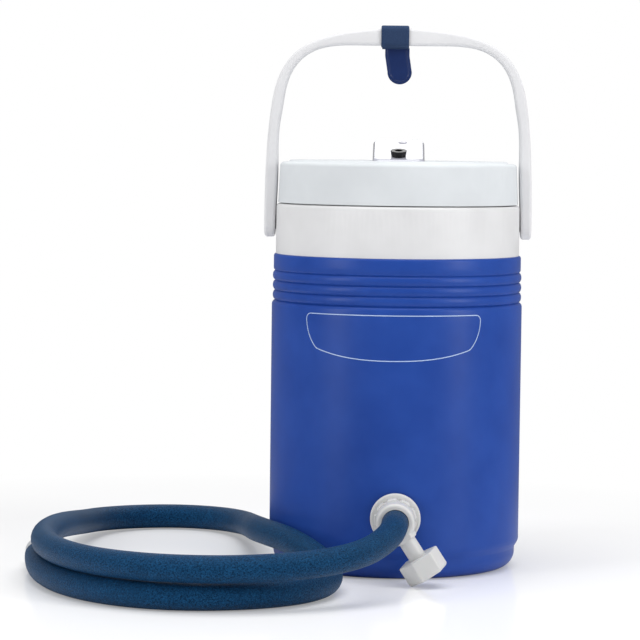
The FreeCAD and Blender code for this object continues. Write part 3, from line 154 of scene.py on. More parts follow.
def shade(tree, shader, share, low, high, height=None, depth_mm=0.0, strength=1.0):
    """Colour a shader from low to high by a share, and raise its surface by a height."""
    colour = add(tree, "ShaderNodeMix", {"Factor": share, "A": low, "B": high}, data_type="RGBA")
    tree.links.new(colour.outputs["Result"], shader.inputs["Base Color"])
    if height is not None:
        bump = add(tree, "ShaderNodeBump", {
            "Height": height, "Distance": depth_mm * MM, "Strength": strength})
        tree.links.new(bump.outputs["Normal"], shader.inputs["Normal"])


print("helpers ready")

# %% [markdown]
# ## Moulded plastics
# Most of the machine is moulded polyethylene, polypropylene or nylon. Such a surface has no grain of its
# own. It shows the tool's fine texture, a slow change of tone where the wall cools unevenly, and a soft
# gloss. So one function makes them all: a slow noise for the tone, a fine noise for the tool's texture, and
# both sizes are real millimetres.


# %% Moulded plastic
def moulded(name, dark, light, roughness, grain_mm=0.9, grain_depth_mm=0.012, drift_mm=45.0,
            **shader_values):
    """Moulded plastic: slow drift of tone, fine tool texture, IOR of about 1.5."""
    material, tree, shader, place = new_material(name, IOR=1.5, **shader_values)
    drift = add(tree, "ShaderNodeTexNoise", {
        "Vector": place, "Scale": 1.0 / (drift_mm * MM), "Detail": 3.0, "Roughness": 0.6})
    grain = add(tree, "ShaderNodeTexNoise", {
        "Vector": place, "Scale": 1.0 / (grain_mm * MM), "Detail": 2.0, "Roughness": 0.5})
    blend = add(tree, "ShaderNodeMapRange", {
        "Value": drift, "From Min": 0.3, "From Max": 0.7})
    shade(tree, shader, blend, linear(dark), linear(light), grain, grain_depth_mm)
    gloss = add(tree, "ShaderNodeMapRange", {
        "Value": blend, "To Min": roughness - 0.03, "To Max": roughness + 0.04})
    tree.links.new(gloss.outputs["Result"], shader.inputs["Roughness"])
    return material


# Blow-moulded polyethylene: even deep colour, broad satin gloss, a little light passes into it.
blue_polyethylene = moulded("blow_moulded_blue_polyethylene", "#1f4396", "#264ca2", 0.35,
                            Specular_IOR_Level=0.2, Subsurface_Weight=0.04, Subsurface_Scale=0.004)
# Injection-moulded polypropylene: flat white, each piece from its own tool and a little different. The lid
# and the handle are the dullest, so they show almost no highlight.
neck_polypropylene = moulded("moulded_white_polypropylene", "#d9d9da", "#e1e1e2", 0.42)
lid_polypropylene = moulded("moulded_lid_polypropylene", "#d2d6d9", "#dadee1", 0.58,
                            Specular_IOR_Level=0.12)
liner_polypropylene = moulded("moulded_liner_polypropylene", "#e4e4e2", "#ececea", 0.3)
handle_polypropylene = moulded("moulded_handle_polypropylene", "#d9d9db", "#dfdfe1", 0.6, grain_depth_mm=0.0,
                               Specular_IOR_Level=0.05)
# Polished ABS under a clear gloss: it mirrors the lamps, so its sloped top is bright and its sides are grey.
housing_abs = moulded("moulded_white_abs", "#acadb9", "#b6b7c2", 0.24, grain_mm=0.6, Specular_IOR_Level=0.8,
                      Coat_Weight=1.0, Coat_Roughness=0.22)
# Plain ABS of the button and the socket: even, with a soft gloss.
button_abs = moulded("moulded_button_abs", "#c9c9d1", "#d1d1d9", 0.32, grain_mm=0.4)
black_abs = moulded("moulded_black_abs", "#040405", "#0a0a0b", 0.3, Specular_IOR_Level=0.3)
# Natural nylon: warm white and slightly see-through at thin edges.
fitting_nylon = moulded("moulded_natural_nylon", "#cdcdcc", "#d9d9d8", 0.36,
                        Subsurface_Weight=0.04, Subsurface_Scale=0.002)
print("plastics:", sum(m.name.startswith(("moulded", "blow")) for m in bpy.data.materials))

# %% [markdown]
# ## Floor, air and lamps
# The floor is a wide pale sheet that keeps the machine's soft shadow. Far from the machine it turns into
# plain white for the camera, so the sheet has no visible edge or horizon, and everywhere it is lifted a
# little for the camera alone, as brightly lit paper is. The air around it is white where the camera sees
# it, and a softer grey as light and in reflections, so that the lamps keep some shape in the shadows.


# %% Floor
FLOOR_COLOUR = "#fcfcfd"
FLOOR_SIZE = 24.0
FADE_CENTRE = (-0.08, -0.03, 0.0)
FADE_FROM = 0.34
FADE_TO = 0.60
AMBIENT_LEVEL = 0.33
GLOSSY_LEVEL = 0.30
FLOOR_LIFT = 0.22


def floor_material():
    """Smooth paper with a soft gloss, turning white for the camera away from the machine."""
    material, tree, shader, place = new_material("white_studio_paper", Roughness=0.15, IOR=1.4)
    shader.inputs["Base Color"].default_value = linear(FLOOR_COLOUR)
    offset = add(tree, "ShaderNodeVectorMath", {0: place, 1: FADE_CENTRE}, operation="DISTANCE")
    fade = add(tree, "ShaderNodeMapRange", {
        "Value": offset.outputs["Value"], "From Min": FADE_FROM, "From Max": FADE_TO})
    path = add(tree, "ShaderNodeLightPath").outputs
    seen = add(tree, "ShaderNodeMath", {
        0: path["Is Camera Ray"], 1: path["Is Glossy Ray"]}, operation="MAXIMUM")
    share = add(tree, "ShaderNodeMath", {0: fade, 1: seen}, operation="MULTIPLY")
    far_level = add(tree, "ShaderNodeMapRange", {
        "Value": path["Is Camera Ray"], "To Min": GLOSSY_LEVEL, "To Max": 1.0})
    plain = add(tree, "ShaderNodeEmission", {"Strength": far_level})
    lift_level = add(tree, "ShaderNodeMath", {0: path["Is Camera Ray"], 1: FLOOR_LIFT}, operation="MULTIPLY")
    lift = add(tree, "ShaderNodeEmission", {"Strength": lift_level})
    paper = add(tree, "ShaderNodeAddShader", {0: shader, 1: lift})
    mix = add(tree, "ShaderNodeMixShader", {0: share, 1: paper, 2: plain})
    tree.links.new(mix.outputs[0], tree.nodes["Material Output"].inputs["Surface"])
    # Only the camera and reflections see this glow, so it needn't be sampled as a lamp, which adds noise.
    material.cycles.emission_sampling = "NONE"
    return material


floor_mesh = bpy.data.meshes.new("studio_floor")
half = FLOOR_SIZE / 2
floor_corners = [(-half, -half, 0), (half, -half, 0), (half, half, 0), (-half, half, 0)]
floor_mesh.from_pydata(floor_corners, [], [(0, 1, 2, 3)])
floor_mesh.materials.append(floor_material())
studio_floor = put("studio_floor", floor_mesh)
print("floor:", FLOOR_SIZE, "m")

# %% Air
air = bpy.data.worlds.new("studio_air")
scene.world = air
air.use_nodes = True
air_tree = air.node_tree
air_tree.nodes.clear()
air_path = add(air_tree, "ShaderNodeLightPath").outputs
see_through = add(air_tree, "ShaderNodeMath", {
    0: air_path["Is Camera Ray"], 1: air_path["Is Transmission Ray"]}, operation="MAXIMUM")
mirror_level = add(air_tree, "ShaderNodeMapRange", {
    "Value": air_path["Is Glossy Ray"], "To Min": AMBIENT_LEVEL, "To Max": GLOSSY_LEVEL})
air_level = add(air_tree, "ShaderNodeMix", {"Factor": see_through, "A": mirror_level, "B": 1.0})
air_light = add(air_tree, "ShaderNodeBackground", {"Color": (1, 1, 1, 1), "Strength": air_level})
add(air_tree, "ShaderNodeOutputWorld", {"Surface": air_light})
print("ambient level:", AMBIENT_LEVEL)

# %% [markdown]
# Four soft boxes light the machine. Two tall ones stand left and right of the camera and leave the long
# soft streaks on the jug's sides. One hangs over it and brightens the lid, the handle and the top of the
# hose. A wide one behind shines on the housing's sloped top and keeps the shadow in front pale. Places and
# sizes are in metres, and the last value is the power in watts.


# %% Lamps
def softbox(name, place, target, width, height, watts):
    """An area lamp at a place, facing a target."""
    lamp = bpy.data.lights.new(name, "AREA")
    lamp.shape = "RECTANGLE"
    lamp.size = width
    lamp.size_y = height
    lamp.energy = watts
    direction = Vector(target) - Vector(place)
    facing = direction.to_track_quat("-Z", "Y").to_matrix().to_4x4()
    put(name, lamp).matrix_world = Matrix.Translation(place) @ facing


JUG_MIDDLE = (0.0, 0.0, 0.18)
JUG_LOW = (0.0, 0.0, 0.1)
SOFTBOXES = [
    ("softbox_left", (-1.5, -1.1, 0.75), JUG_MIDDLE, 0.6, 1.4, 13.0),
    ("softbox_right", (1.5, -0.9, 0.75), JUG_MIDDLE, 0.5, 1.4, 14.5),
    ("softbox_over", (0.0, -0.15, 1.7), JUG_LOW, 1.6, 1.2, 20.0),
    ("softbox_back", (0.0, 1.5, 1.15), JUG_MIDDLE, 1.0, 0.7, 4.2),
]
for lamp_values in SOFTBOXES:
    softbox(*lamp_values)

# %% [markdown]
# ## The hose
# A limp water hose in a foam sleeve leaves the tee straight forward, curves away to the left, lies on its
# own lower strand, turns on the floor behind, comes back in a low arch along the jug's side, and goes round
# on the floor to its coupling. It is one NURBS line with a round bevel, so no bend shows a corner. Its
# points are the route of the CAD tube: the first two leave the tee, and the others are shares of the jug's
# radius and, upwards, of the hose's own radius.

# %% Lay the hose
JUG_RADIUS = 95.0
HOSE_RADIUS = 9.7
OUTLET_X = 1.1
OUTLET_Z = 46.8
HOSE_START = [(OUTLET_X, -116.5, OUTLET_Z), (OUTLET_X, -136.5, OUTLET_Z - 0.4)]
HOSE_LIE = [
    (-0.0368, -1.7474, 4.330), (-0.2000, -2.1158, 3.691), (-0.5053, -2.3800, 3.300),
    (-0.8947, -2.5350, 3.120), (-1.3053, -2.6050, 3.065), (-1.7500, -2.5400, 3.060),
    (-2.1600, -2.2900, 3.060), (-2.4700, -1.8800, 3.060), (-2.6600, -1.3600, 3.070),
    (-2.7150, -0.8200, 3.060), (-2.6850, -0.2400, 2.820), (-2.6500, 0.4200, 2.160),
    (-2.6100, 1.0300, 1.480), (-2.5200, 1.4400, 1.180), (-2.2500, 1.7300, 1.060),
    (-1.8700, 1.8300, 1.040), (-1.5050, 1.6900, 1.060), (-1.2800, 1.3500, 1.200),
    (-1.1930, 0.8600, 1.600), (-1.1400, 0.3200, 2.200), (-1.1150, -0.1300, 2.770),
    (-1.0350, -0.4800, 3.010), (-0.7895, -0.8842, 2.835), (-0.5368, -1.2421, 1.856),
    (-0.4526, -1.6211, 1.113), (-0.5684, -2.0450, 1.021), (-0.8737, -2.3600, 1.021),
    (-1.2737, -2.5250, 1.021), (-1.6850, -2.5200, 1.021), (-2.0700, -2.3350, 1.021),
    (-2.3900, -2.0000, 1.021), (-2.6050, -1.5700, 1.021), (-2.7350, -1.1000, 1.021),
    (-2.7950, -0.6200, 1.021),
]
hose_points = HOSE_START + [(x * JUG_RADIUS, y * JUG_RADIUS, z * HOSE_RADIUS) for x, y, z in HOSE_LIE]
hose_curve = bpy.data.curves.new("foam_hose", "CURVE")
hose_curve.dimensions = "3D"
hose_spline = hose_curve.splines.new("NURBS")
hose_spline.points.add(len(hose_points) - 1)
for control, point in zip(hose_spline.points, hose_points):
    control.co = (*(v * MM for v in point), 1.0)
hose_spline.order_u = 3
hose_spline.use_endpoint_u = True
hose_spline.resolution_u = 14
hose_curve.bevel_depth = HOSE_RADIUS * MM
hose_curve.bevel_resolution = 10
hose_curve.use_fill_caps = True
foam_hose = put("foam_hose", hose_curve)
print("hose points:", len(hose_points), "length:", round(hose_spline.calc_length(), 4), "m")

# %% [markdown]
# The sleeve is thin black-blue foam with a skin of tiny open cells. Close to, it is speckled: pits with
# painted shade between lighter cell walls, and a blue bloom where light grazes it. One noise of about a
# millimetre makes the speckle, its relief and the painted shade low in it, a wider one the patches, and a
# blue sheen and gloss the bloom. The cells are drawn a little larger than real ones so that they show.


# %% Foam sleeve
CELL_MM = 1.1
PATCH_MM = 9.0


def sleeve_foam():
    """Open-cell foam skin: pits darkened with painted shade, lighter walls, cloudy patches, blue bloom."""
    material, tree, shader, place = new_material(
        "open_cell_sleeve_foam", Roughness=0.5, IOR=1.45, Specular_IOR_Level=0.7,
        Sheen_Weight=0.06, Sheen_Roughness=0.4)
    shader.inputs["Sheen Tint"].default_value = linear("#4f8fc4")
    shader.inputs["Specular Tint"].default_value = linear("#3a86bd")
    cells = add(tree, "ShaderNodeTexNoise", {
        "Vector": place, "Scale": 1.0 / (CELL_MM * MM), "Detail": 5.0, "Roughness": 0.75})
    patches = add(tree, "ShaderNodeTexNoise", {
        "Vector": place, "Scale": 1.0 / (PATCH_MM * MM), "Detail": 3.0})
    # Painted shade: the colour is darkest where the cells' relief is lowest, in the pits.
    pit_shade_share = add(tree, "ShaderNodeMapRange", {"Value": cells, "From Min": 0.38, "From Max": 0.64})
    base = add(tree, "ShaderNodeMix", {
        "Factor": pit_shade_share, "A": linear("#040f1e"), "B": linear("#1d5280")}, data_type="RGBA")
    cover = add(tree, "ShaderNodeMapRange", {
        "Value": patches, "From Min": 0.35, "From Max": 0.7, "To Max": 0.35})
    shade(tree, shader, cover, base.outputs["Result"], linear("#082a4a"), cells, depth_mm=0.6)
    return material


hose_curve.materials.append(sleeve_foam())
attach(foam_hose, "jug")
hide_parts("hose")
print("hose material:", hose_curve.materials[0].name)

# %% [markdown]
# ## The jug's outer shell
# The shell is one blow moulding: a foot, a chamfer, a long plain wall, three ribs between rounded grooves,
# and a band under the neck. Every section through its axis is the same, so it is spun from that section.
# The section is a row of points in the XZ plane, with arcs where the mould has them. Geometry Nodes lays a
# grid with one column for each step of the turn and one row for each point, sends each grid vertex to its
# point of the section, and turns it by its share of the circle. A last node drills the outlet's hole.


# %% Section of the shell
def arc_points(centre, radius, first, last, steps):
    """Points along an arc, angles in degrees from the outward direction."""
    angles = [math.radians(first + (last - first) * i / steps) for i in range(steps + 1)]
    return [(centre[0] + radius * math.cos(a), centre[1] + radius * math.sin(a)) for a in angles]


FOOT_RADIUS = 80.5
BASE_RADIUS = 92.0
BASE_TOP = 15.5
BODY_LOW = 20.0
BODY_TOP = 198.0
GROOVE_RADIUS = 92.6
RIB_RADIUS = 94.4
BAND_RADIUS = 93.8
BAND_TOP = 236.1
SHELL_WALL = 2.5
RIB_LOW = 200.9
RIB_PITCH = 7.45
RIB_COUNT = 3
RIB_ROUNDNESS = 0.55
WALL_HEIGHTS = (24.0, 28.9, 46.8, 64.7, 100.0, 130.0, 160.0, 190.0, BODY_TOP - 0.5)
FOOT_TURN = BASE_RADIUS - FOOT_RADIUS
PLUG_HOLE_RADIUS = 12.2
RECESS_TOP = 3.0
RECESS_RIM = 69.4
ARC_STEPS = 8


def rib(low, high):
    """A rounded rib that bulges from one groove to the next."""
    points = []
    for i in range(ARC_STEPS + 1):
        share = i / ARC_STEPS
        bulge = math.sin(math.pi * share) ** RIB_ROUNDNESS if 0 < i < ARC_STEPS else 0.0
        points.append((GROOVE_RADIUS + (RIB_RADIUS - GROOVE_RADIUS) * bulge, low + (high - low) * share))
    return points


def shell_section():
    """The wall's closed section as points (radius, height), from the plug's hole out, up and back inside."""
    foot_turn = arc_points((FOOT_RADIUS, FOOT_TURN), FOOT_TURN, -90, 0, ARC_STEPS)
    chamfer = [(BASE_RADIUS, BASE_TOP - 0.5), (BASE_RADIUS + 0.3, BASE_TOP + 0.4),
               (JUG_RADIUS - 0.5, BODY_LOW - 0.5), (JUG_RADIUS, BODY_LOW + 0.9)]
    wall = [(JUG_RADIUS, z) for z in WALL_HEIGHTS]
    shoulder = [(JUG_RADIUS - 0.25, BODY_TOP + 0.8), (JUG_RADIUS - 1.0, BODY_TOP + 1.9)]
    ribs = []
    for i in range(RIB_COUNT):
        ribs += rib(RIB_LOW + i * RIB_PITCH, RIB_LOW + (i + 1) * RIB_PITCH)[min(i, 1):]
    band = [(BAND_RADIUS - 0.3, 224.2), (BAND_RADIUS, 224.9), (BAND_RADIUS, 229.0)]
    band += arc_points((BAND_RADIUS - 2.0, BAND_TOP - 2.0), 2.0, 0, 90, ARC_STEPS // 2)
    inside = [(GROOVE_RADIUS - SHELL_WALL, BAND_TOP), (GROOVE_RADIUS - SHELL_WALL, BODY_TOP),
              (JUG_RADIUS - SHELL_WALL, BODY_TOP - 2.9), (JUG_RADIUS - SHELL_WALL, BODY_LOW),
              (BASE_RADIUS - SHELL_WALL, BASE_TOP), (BASE_RADIUS - SHELL_WALL, 14.0),
              (FOOT_RADIUS - SHELL_WALL, RECESS_TOP + SHELL_WALL),
              (PLUG_HOLE_RADIUS, RECESS_TOP + SHELL_WALL)]
    below = [(PLUG_HOLE_RADIUS, RECESS_TOP), (60.0, RECESS_TOP), (RECESS_RIM - 2.4, RECESS_TOP),
             (RECESS_RIM - 0.9, 2.4), (RECESS_RIM, 0.6), (RECESS_RIM + 1.0, 0.0), (75.0, 0.0)]
    return below + foot_turn + chamfer + wall + shoulder + ribs + band + inside


section = shell_section()
print("points in the section:", len(section))


# %% Open and close a tree
def open_tree(name, kinds):
    """A tree with geometry in and out, named inputs and a material. Returns it and its inputs."""
    tree = bpy.data.node_groups.new(name, "GeometryNodeTree")
    for label, kind in {"Geometry": "Geometry", **kinds, "Material": "Material"}.items():
        tree.interface.new_socket(label, in_out="INPUT", socket_type="NodeSocket" + kind)
    tree.interface.new_socket("Geometry", in_out="OUTPUT", socket_type="NodeSocketGeometry")
    return tree, add(tree, "NodeGroupInput").outputs


def close_tree(tree, entry, geometry):
    """End a tree: make its instances real, give them the material and put them out."""
    real = add(tree, "GeometryNodeRealizeInstances", {"Geometry": geometry})
    coloured = add(tree, "GeometryNodeSetMaterial", {"Geometry": real, "Material": entry["Material"]})
    add(tree, "NodeGroupOutput", {"Geometry": coloured})
    return tree


print("tree frame ready")


# %% The spinning tree
MERGE_DISTANCE = 0.00001
DRILL_DEPTH = 0.03


def spin_tree(name):
    """Geometry Nodes: spin a closed section about Z, then cut the outlet's hole."""
    tree, entry = open_tree(name, {"Steps": "Int", "Hole radius": "Float", "Hole place": "Vector"})
    size = add(tree, "GeometryNodeAttributeDomainSize", {
        "Geometry": entry["Geometry"]}).outputs["Point Count"]
    rows = add(tree, "ShaderNodeMath", {0: size, 1: 1.0}, operation="ADD")
    columns = add(tree, "ShaderNodeMath", {0: entry["Steps"], 1: 1.0}, operation="ADD")
    grid = add(tree, "GeometryNodeMeshGrid", {"Vertices X": columns, "Vertices Y": rows})
    index = add(tree, "GeometryNodeInputIndex")
    whole_columns = add(tree, "ShaderNodeMath", {0: index, 1: rows}, operation="DIVIDE")
    column = add(tree, "ShaderNodeMath", {0: whole_columns}, operation="FLOOR")
    row = add(tree, "ShaderNodeMath", {0: index, 1: rows}, operation="FLOORED_MODULO")
    wrapped = add(tree, "ShaderNodeMath", {0: row, 1: size}, operation="FLOORED_MODULO")
    place = add(tree, "GeometryNodeInputPosition")
    sample = add(tree, "GeometryNodeSampleIndex", {
        "Geometry": entry["Geometry"], "Value": place, "Index": wrapped}, data_type="FLOAT_VECTOR")
    turn_share = add(tree, "ShaderNodeMath", {0: column, 1: entry["Steps"]}, operation="DIVIDE")
    angle = add(tree, "ShaderNodeMath", {0: turn_share, 1: 2 * math.pi}, operation="MULTIPLY")
    turned = add(tree, "ShaderNodeVectorRotate", {
        "Vector": sample.outputs["Value"], "Angle": angle}, rotation_type="Z_AXIS")
    placed = add(tree, "GeometryNodeSetPosition", {"Geometry": grid, "Position": turned})
    closed = add(tree, "GeometryNodeMergeByDistance", {
        "Geometry": placed, "Distance": MERGE_DISTANCE})
    drill = add(tree, "GeometryNodeMeshCylinder", {
        "Vertices": 64, "Radius": entry["Hole radius"], "Depth": DRILL_DEPTH})
    aimed = add(tree, "GeometryNodeTransform", {
        "Geometry": drill, "Translation": entry["Hole place"],
        "Rotation": (math.pi / 2, 0.0, 0.0)})
    cut = add(tree, "GeometryNodeMeshBoolean", {"Mesh 1": closed, "Mesh 2": aimed}, operation="DIFFERENCE")
    return close_tree(tree, entry, cut)


print("spinning tree ready")


# %% Run a tree and smooth its result
def grown(name, source_mesh, tree, values):
    """Run a tree on a mesh and return its result as an object with a plain mesh."""
    seed = put(name + "_seed", source_mesh)
    maker = seed.modifiers.new("maker", "NODES")
    maker.node_group = tree
    ids = {item.name: item.identifier for item in tree.interface.items_tree
           if item.item_type == "SOCKET" and item.in_out == "INPUT"}
    for label, value in values.items():
        maker[ids[label]] = value
    bpy.context.view_layer.update()
    result = bpy.data.meshes.new_from_object(seed.evaluated_get(bpy.context.evaluated_depsgraph_get()))
    seed.modifiers.remove(maker)
    bpy.data.objects.remove(seed)
    result.name = name
    return put(name, result)


@contextlib.contextmanager
def opened(mesh):
    """A mesh opened for changes, which are written back at the end."""
    work = bmesh.new()
    work.from_mesh(mesh)
    yield work
    work.to_mesh(mesh)
    work.free()


def smooth_by_angle(mesh, degrees):
    """Smooth shading with sharp edges where faces meet at more than an angle."""
    limit = math.radians(degrees)
    with opened(mesh) as work:
        for face in work.faces:
            face.smooth = True
        for edge in work.edges:
            edge.smooth = len(edge.link_faces) == 2 and edge.calc_face_angle(0.0) <= limit


print("tree helpers ready")

# %% Spin the shell
SHELL_STEPS = 192
OUTLET_HOLE_RADIUS = 9.4
SMOOTH_ANGLE = 32
section_mesh = bpy.data.meshes.new("shell_section")
section_mesh.from_pydata([(r * MM, 0.0, z * MM) for r, z in section], [], [])
jug_shell = grown("jug_shell", section_mesh, spin_tree("spin_a_section"), {
    "Steps": SHELL_STEPS, "Hole radius": OUTLET_HOLE_RADIUS * MM,
    "Hole place": (OUTLET_X * MM, -JUG_RADIUS * MM, OUTLET_Z * MM), "Material": blue_polyethylene})
with opened(jug_shell.data) as shell_work:
    bmesh.ops.recalc_face_normals(shell_work, faces=shell_work.faces)
    open_edges = sum(len(e.link_faces) != 2 for e in shell_work.edges)
smooth_by_angle(jug_shell.data, SMOOTH_ANGLE)
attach(jug_shell, "jug")
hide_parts("outer_shell")
print("shell faces:", len(jug_shell.data.polygons), "open edges:", open_edges)

# %% [markdown]
# ## The badge's outline
# A shallow moulded line frames the bare badge on the shell's front. It is a flat outline, wider at the top,
# so it is drawn in a plane as distance along the wall and height: a straight top, two slightly bowed sides
# and a bowed bottom. A tree rounds its corners, bends it onto the shell's radius, and sweeps a thin bead
# along it. Only the bead's crown stands out of the wall.

# %% Outline of the badge
BADGE_TOP = [(-73.2, 194.6), (67.2, 194.8)]
BADGE_KNEES = [(57.9, 169.4), (-63.6, 169.2)]
SIDE_BOW = 3.1
SIDE_STEPS = 7
BOTTOM_BOW = 7.8
BOTTOM_STEPS = 16
BOTTOM_FLATNESS = 2.4
BADGE_CORNER = 4.5
BEAD_RADIUS = 0.42
BEAD_SINK = 0.22
BEAD_SMOOTH_ANGLE = 60


def bowed(start, end, bow, count, power=2.0):
    """Points from a start up to an end in (along the wall, height) mm, bowed out to the left of the way."""
    (x0, z0), (x1, z1) = start, end
    length = math.dist(start, end)
    points = []
    for i in range(count):
        share = i / count
        out = bow * (1.0 - abs(2.0 * share - 1.0) ** power) / length
        points.append((x0 + (x1 - x0) * share - (z1 - z0) * out, z0 + (z1 - z0) * share + (x1 - x0) * out))
    return points


badge_outline = [
    BADGE_TOP[0], *bowed(BADGE_TOP[1], BADGE_KNEES[0], SIDE_BOW, SIDE_STEPS),
    *bowed(BADGE_KNEES[0], BADGE_KNEES[1], BOTTOM_BOW, BOTTOM_STEPS, power=BOTTOM_FLATNESS),
    *bowed(BADGE_KNEES[1], BADGE_TOP[0], SIDE_BOW, SIDE_STEPS)]
print("points on the badge's outline:", len(badge_outline))


# %% Bend the badge's line onto the shell
BEAD_STEP = 0.0015


def badge_tree():
    """Geometry Nodes: round a flat line's corners, bend it round the wall and sweep a bead along it."""
    tree, entry = open_tree("bend_a_line_onto_the_wall", {
        "Wall radius": "Float", "Corner radius": "Float", "Bead radius": "Float", "Sink": "Float"})
    line = add(tree, "GeometryNodeMeshToCurve", {"Mesh": entry["Geometry"]})
    rounded = add(tree, "GeometryNodeFilletCurve", {
        "Curve": line, "Count": 6, "Radius": entry["Corner radius"], "Limit Radius": True},
        mode="POLY")
    fine = add(tree, "GeometryNodeResampleCurve", {"Curve": rounded, "Length": BEAD_STEP}, mode="LENGTH")
    position = add(tree, "GeometryNodeInputPosition")
    place = add(tree, "ShaderNodeSeparateXYZ", {0: position}).outputs
    angle = add(tree, "ShaderNodeMath", {0: place["X"], 1: entry["Wall radius"]}, operation="DIVIDE")
    forward_place = add(tree, "ShaderNodeMath", {
        0: entry["Sink"], 1: entry["Wall radius"]}, operation="SUBTRACT")
    front = add(tree, "ShaderNodeCombineXYZ", {"Y": forward_place, "Z": place["Z"]})
    bent = add(tree, "ShaderNodeVectorRotate", {"Vector": front, "Angle": angle}, rotation_type="Z_AXIS")
    wrapped = add(tree, "GeometryNodeSetPosition", {"Geometry": fine, "Position": bent})
    bead = add(tree, "GeometryNodeCurvePrimitiveCircle", {"Resolution": 10, "Radius": entry["Bead radius"]})
    swept = add(tree, "GeometryNodeCurveToMesh", {
        "Curve": wrapped, "Profile Curve": bead.outputs["Curve"]})
    return close_tree(tree, entry, swept)


# A line paler than the wall, so that it reads as thin and light.
badge_line_colour = moulded("moulded_badge_line", "#a9bfe2", "#bccfea", 0.4, grain_mm=0.6)
badge_mesh = bpy.data.meshes.new("badge_outline")
badge_mesh.from_pydata([(x * MM, 0.0, z * MM) for x, z in badge_outline],
                       [(i, (i + 1) % len(badge_outline)) for i in range(len(badge_outline))], [])
badge_line = grown("badge_line", badge_mesh, badge_tree(), {
    "Wall radius": JUG_RADIUS * MM, "Corner radius": BADGE_CORNER * MM, "Bead radius": BEAD_RADIUS * MM,
    "Sink": BEAD_SINK * MM, "Material": badge_line_colour})
smooth_by_angle(badge_line.data, BEAD_SMOOTH_ANGLE)
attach(badge_line, "jug")
print("badge line faces:", len(badge_line.data.polygons))

# %% [markdown]
# ## Softened mouldings
# The white mouldings keep the shape of their CAD solids, but no moulding has a perfectly sharp edge. Each
# is copied, its loose triangles are merged, its flat triangles are joined into whole faces, and a small
# bevel goes round every edge, so that each edge catches a thin line of light as the real ones do.


# %% Soften a copy of a solid
WELD_MM = 0.002
FLAT_ANGLE = 0.6


def soften(node, name, body, material, edge_mm):
    """Merged and bevelled copy of a CAD node that stands for it."""
    mesh = frame["nodes"][node].data.copy()
    mesh.name = name
    with opened(mesh) as work:
        bmesh.ops.remove_doubles(work, verts=work.verts, dist=WELD_MM * MM)
        bmesh.ops.dissolve_limit(work, angle_limit=math.radians(FLAT_ANGLE), verts=work.verts,
                                 edges=work.edges, delimit=set())
    mesh.materials.clear()
    mesh.materials.append(material)
    piece = put(name, mesh)
    smooth_by_angle(mesh, SMOOTH_ANGLE)
    if edge_mm:
        bevel = piece.modifiers.new("soft_edges", "BEVEL")
        bevel.width = edge_mm * MM
        bevel.segments = 2
        bevel.limit_method = "ANGLE"
        bevel.angle_limit = math.radians(SMOOTH_ANGLE)
        bevel.harden_normals = True
        bevel.miter_outer = "MITER_ARC"
    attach(piece, body)
    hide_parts(node)
    return piece


BODIES = frame["record"]["behaviour"]["bodies"]
BODY_OF = {node: body for body, nodes in BODIES.items() for node in nodes}
SOFTENED = [
    ("neck_collar", "neck_moulding", neck_polypropylene, 0.35, "neck_white"),
    ("lid_shell", "lid_moulding", lid_polypropylene, 0.45, "lid_white"),
    ("handle_pins", "handle_pin_heads", handle_polypropylene, 0.3, "pin_white"),
    ("housing_cover", "pump_housing", housing_abs, 0.5, "housing_white"),
    ("power_button", "round_button", button_abs, 0.3, "button_grey"),
    ("dc_jack", "power_socket_body", black_abs, 0.25, "black_plastic"),
    ("outlet_bulkhead", "outlet_flange", fitting_nylon, 0.3, "fitting_white"),
    ("collar_nut", "outlet_hand_nut", fitting_nylon, 0.35, "fitting_white"),
    ("outlet_tee", "outlet_tee_body", fitting_nylon, 0.35, "fitting_white"),
    ("drain_cap", "drain_hexagon_cap", fitting_nylon, 0.45, "fitting_white"),
    ("inner_liner", "liner_moulding", liner_polypropylene, 0.3, "liner_white"),
]
for node, name, material, edge_mm, slot in SOFTENED:
    piece = soften(node, name, BODY_OF[node], material, edge_mm)
    print(name, "faces:", len(piece.data.polygons))

# %% [markdown]
# ## Bands
# The handle and the strap are flat bands. Each is drawn as a grid of points across and along, with a front
# and a back that meet at the edges. One function closes such a grid into a mesh.


# %% Band helper
BAND_WELD_MM = 0.01
BAND_SMOOTH_ANGLE = 50


def band_mesh(name, point, thickness, material, rows, columns, cyclic=False):
    """Closed band. point(u, v) gives the middle surface, its normal and the half thickness there."""
    front, back = [], []
    for j in range(rows + (0 if cyclic else 1)):
        for i in range(columns + 1):
            middle, normal, half_depth = point(i / columns, j / rows)
            front.append(middle + normal * half_depth * thickness)
            back.append(middle - normal * half_depth * thickness)
    count = len(front)
    wide = columns + 1
    faces = []
    for j in range(rows):
        below = j * wide
        above = ((j + 1) * wide) % count if cyclic else (j + 1) * wide
        for i in range(columns):
            quad = (below + i, below + i + 1, above + i + 1, above + i)
            faces.append(quad)
            faces.append(tuple(count + v for v in reversed(quad)))
        for i in (0, columns):
            faces.append((below + i, above + i, count + above + i, count + below + i))
    if not cyclic:
        for base in (0, rows * wide):
            for i in range(columns):
                faces.append((base + i, base + i + 1, count + base + i + 1, count + base + i))
    mesh = bpy.data.meshes.new(name)
    mesh.from_pydata([p * MM for p in front + back], [], faces)
    with opened(mesh) as work:
        bmesh.ops.remove_doubles(work, verts=work.verts, dist=BAND_WELD_MM * MM)
        bmesh.ops.recalc_face_normals(work, faces=work.faces)
    mesh.materials.append(material)
    piece = put(name, mesh)
    smooth_by_angle(mesh, BAND_SMOOTH_ANGLE)
    return piece


def edge_share(distance, round_mm):
    """0 at an edge, 1 from round_mm inwards, rounded."""
    share = min(max(distance / round_mm, 0.0), 1.0)
    return math.sqrt(max(0.0, 1.0 - (1.0 - share) ** 2))


print("band helper ready")

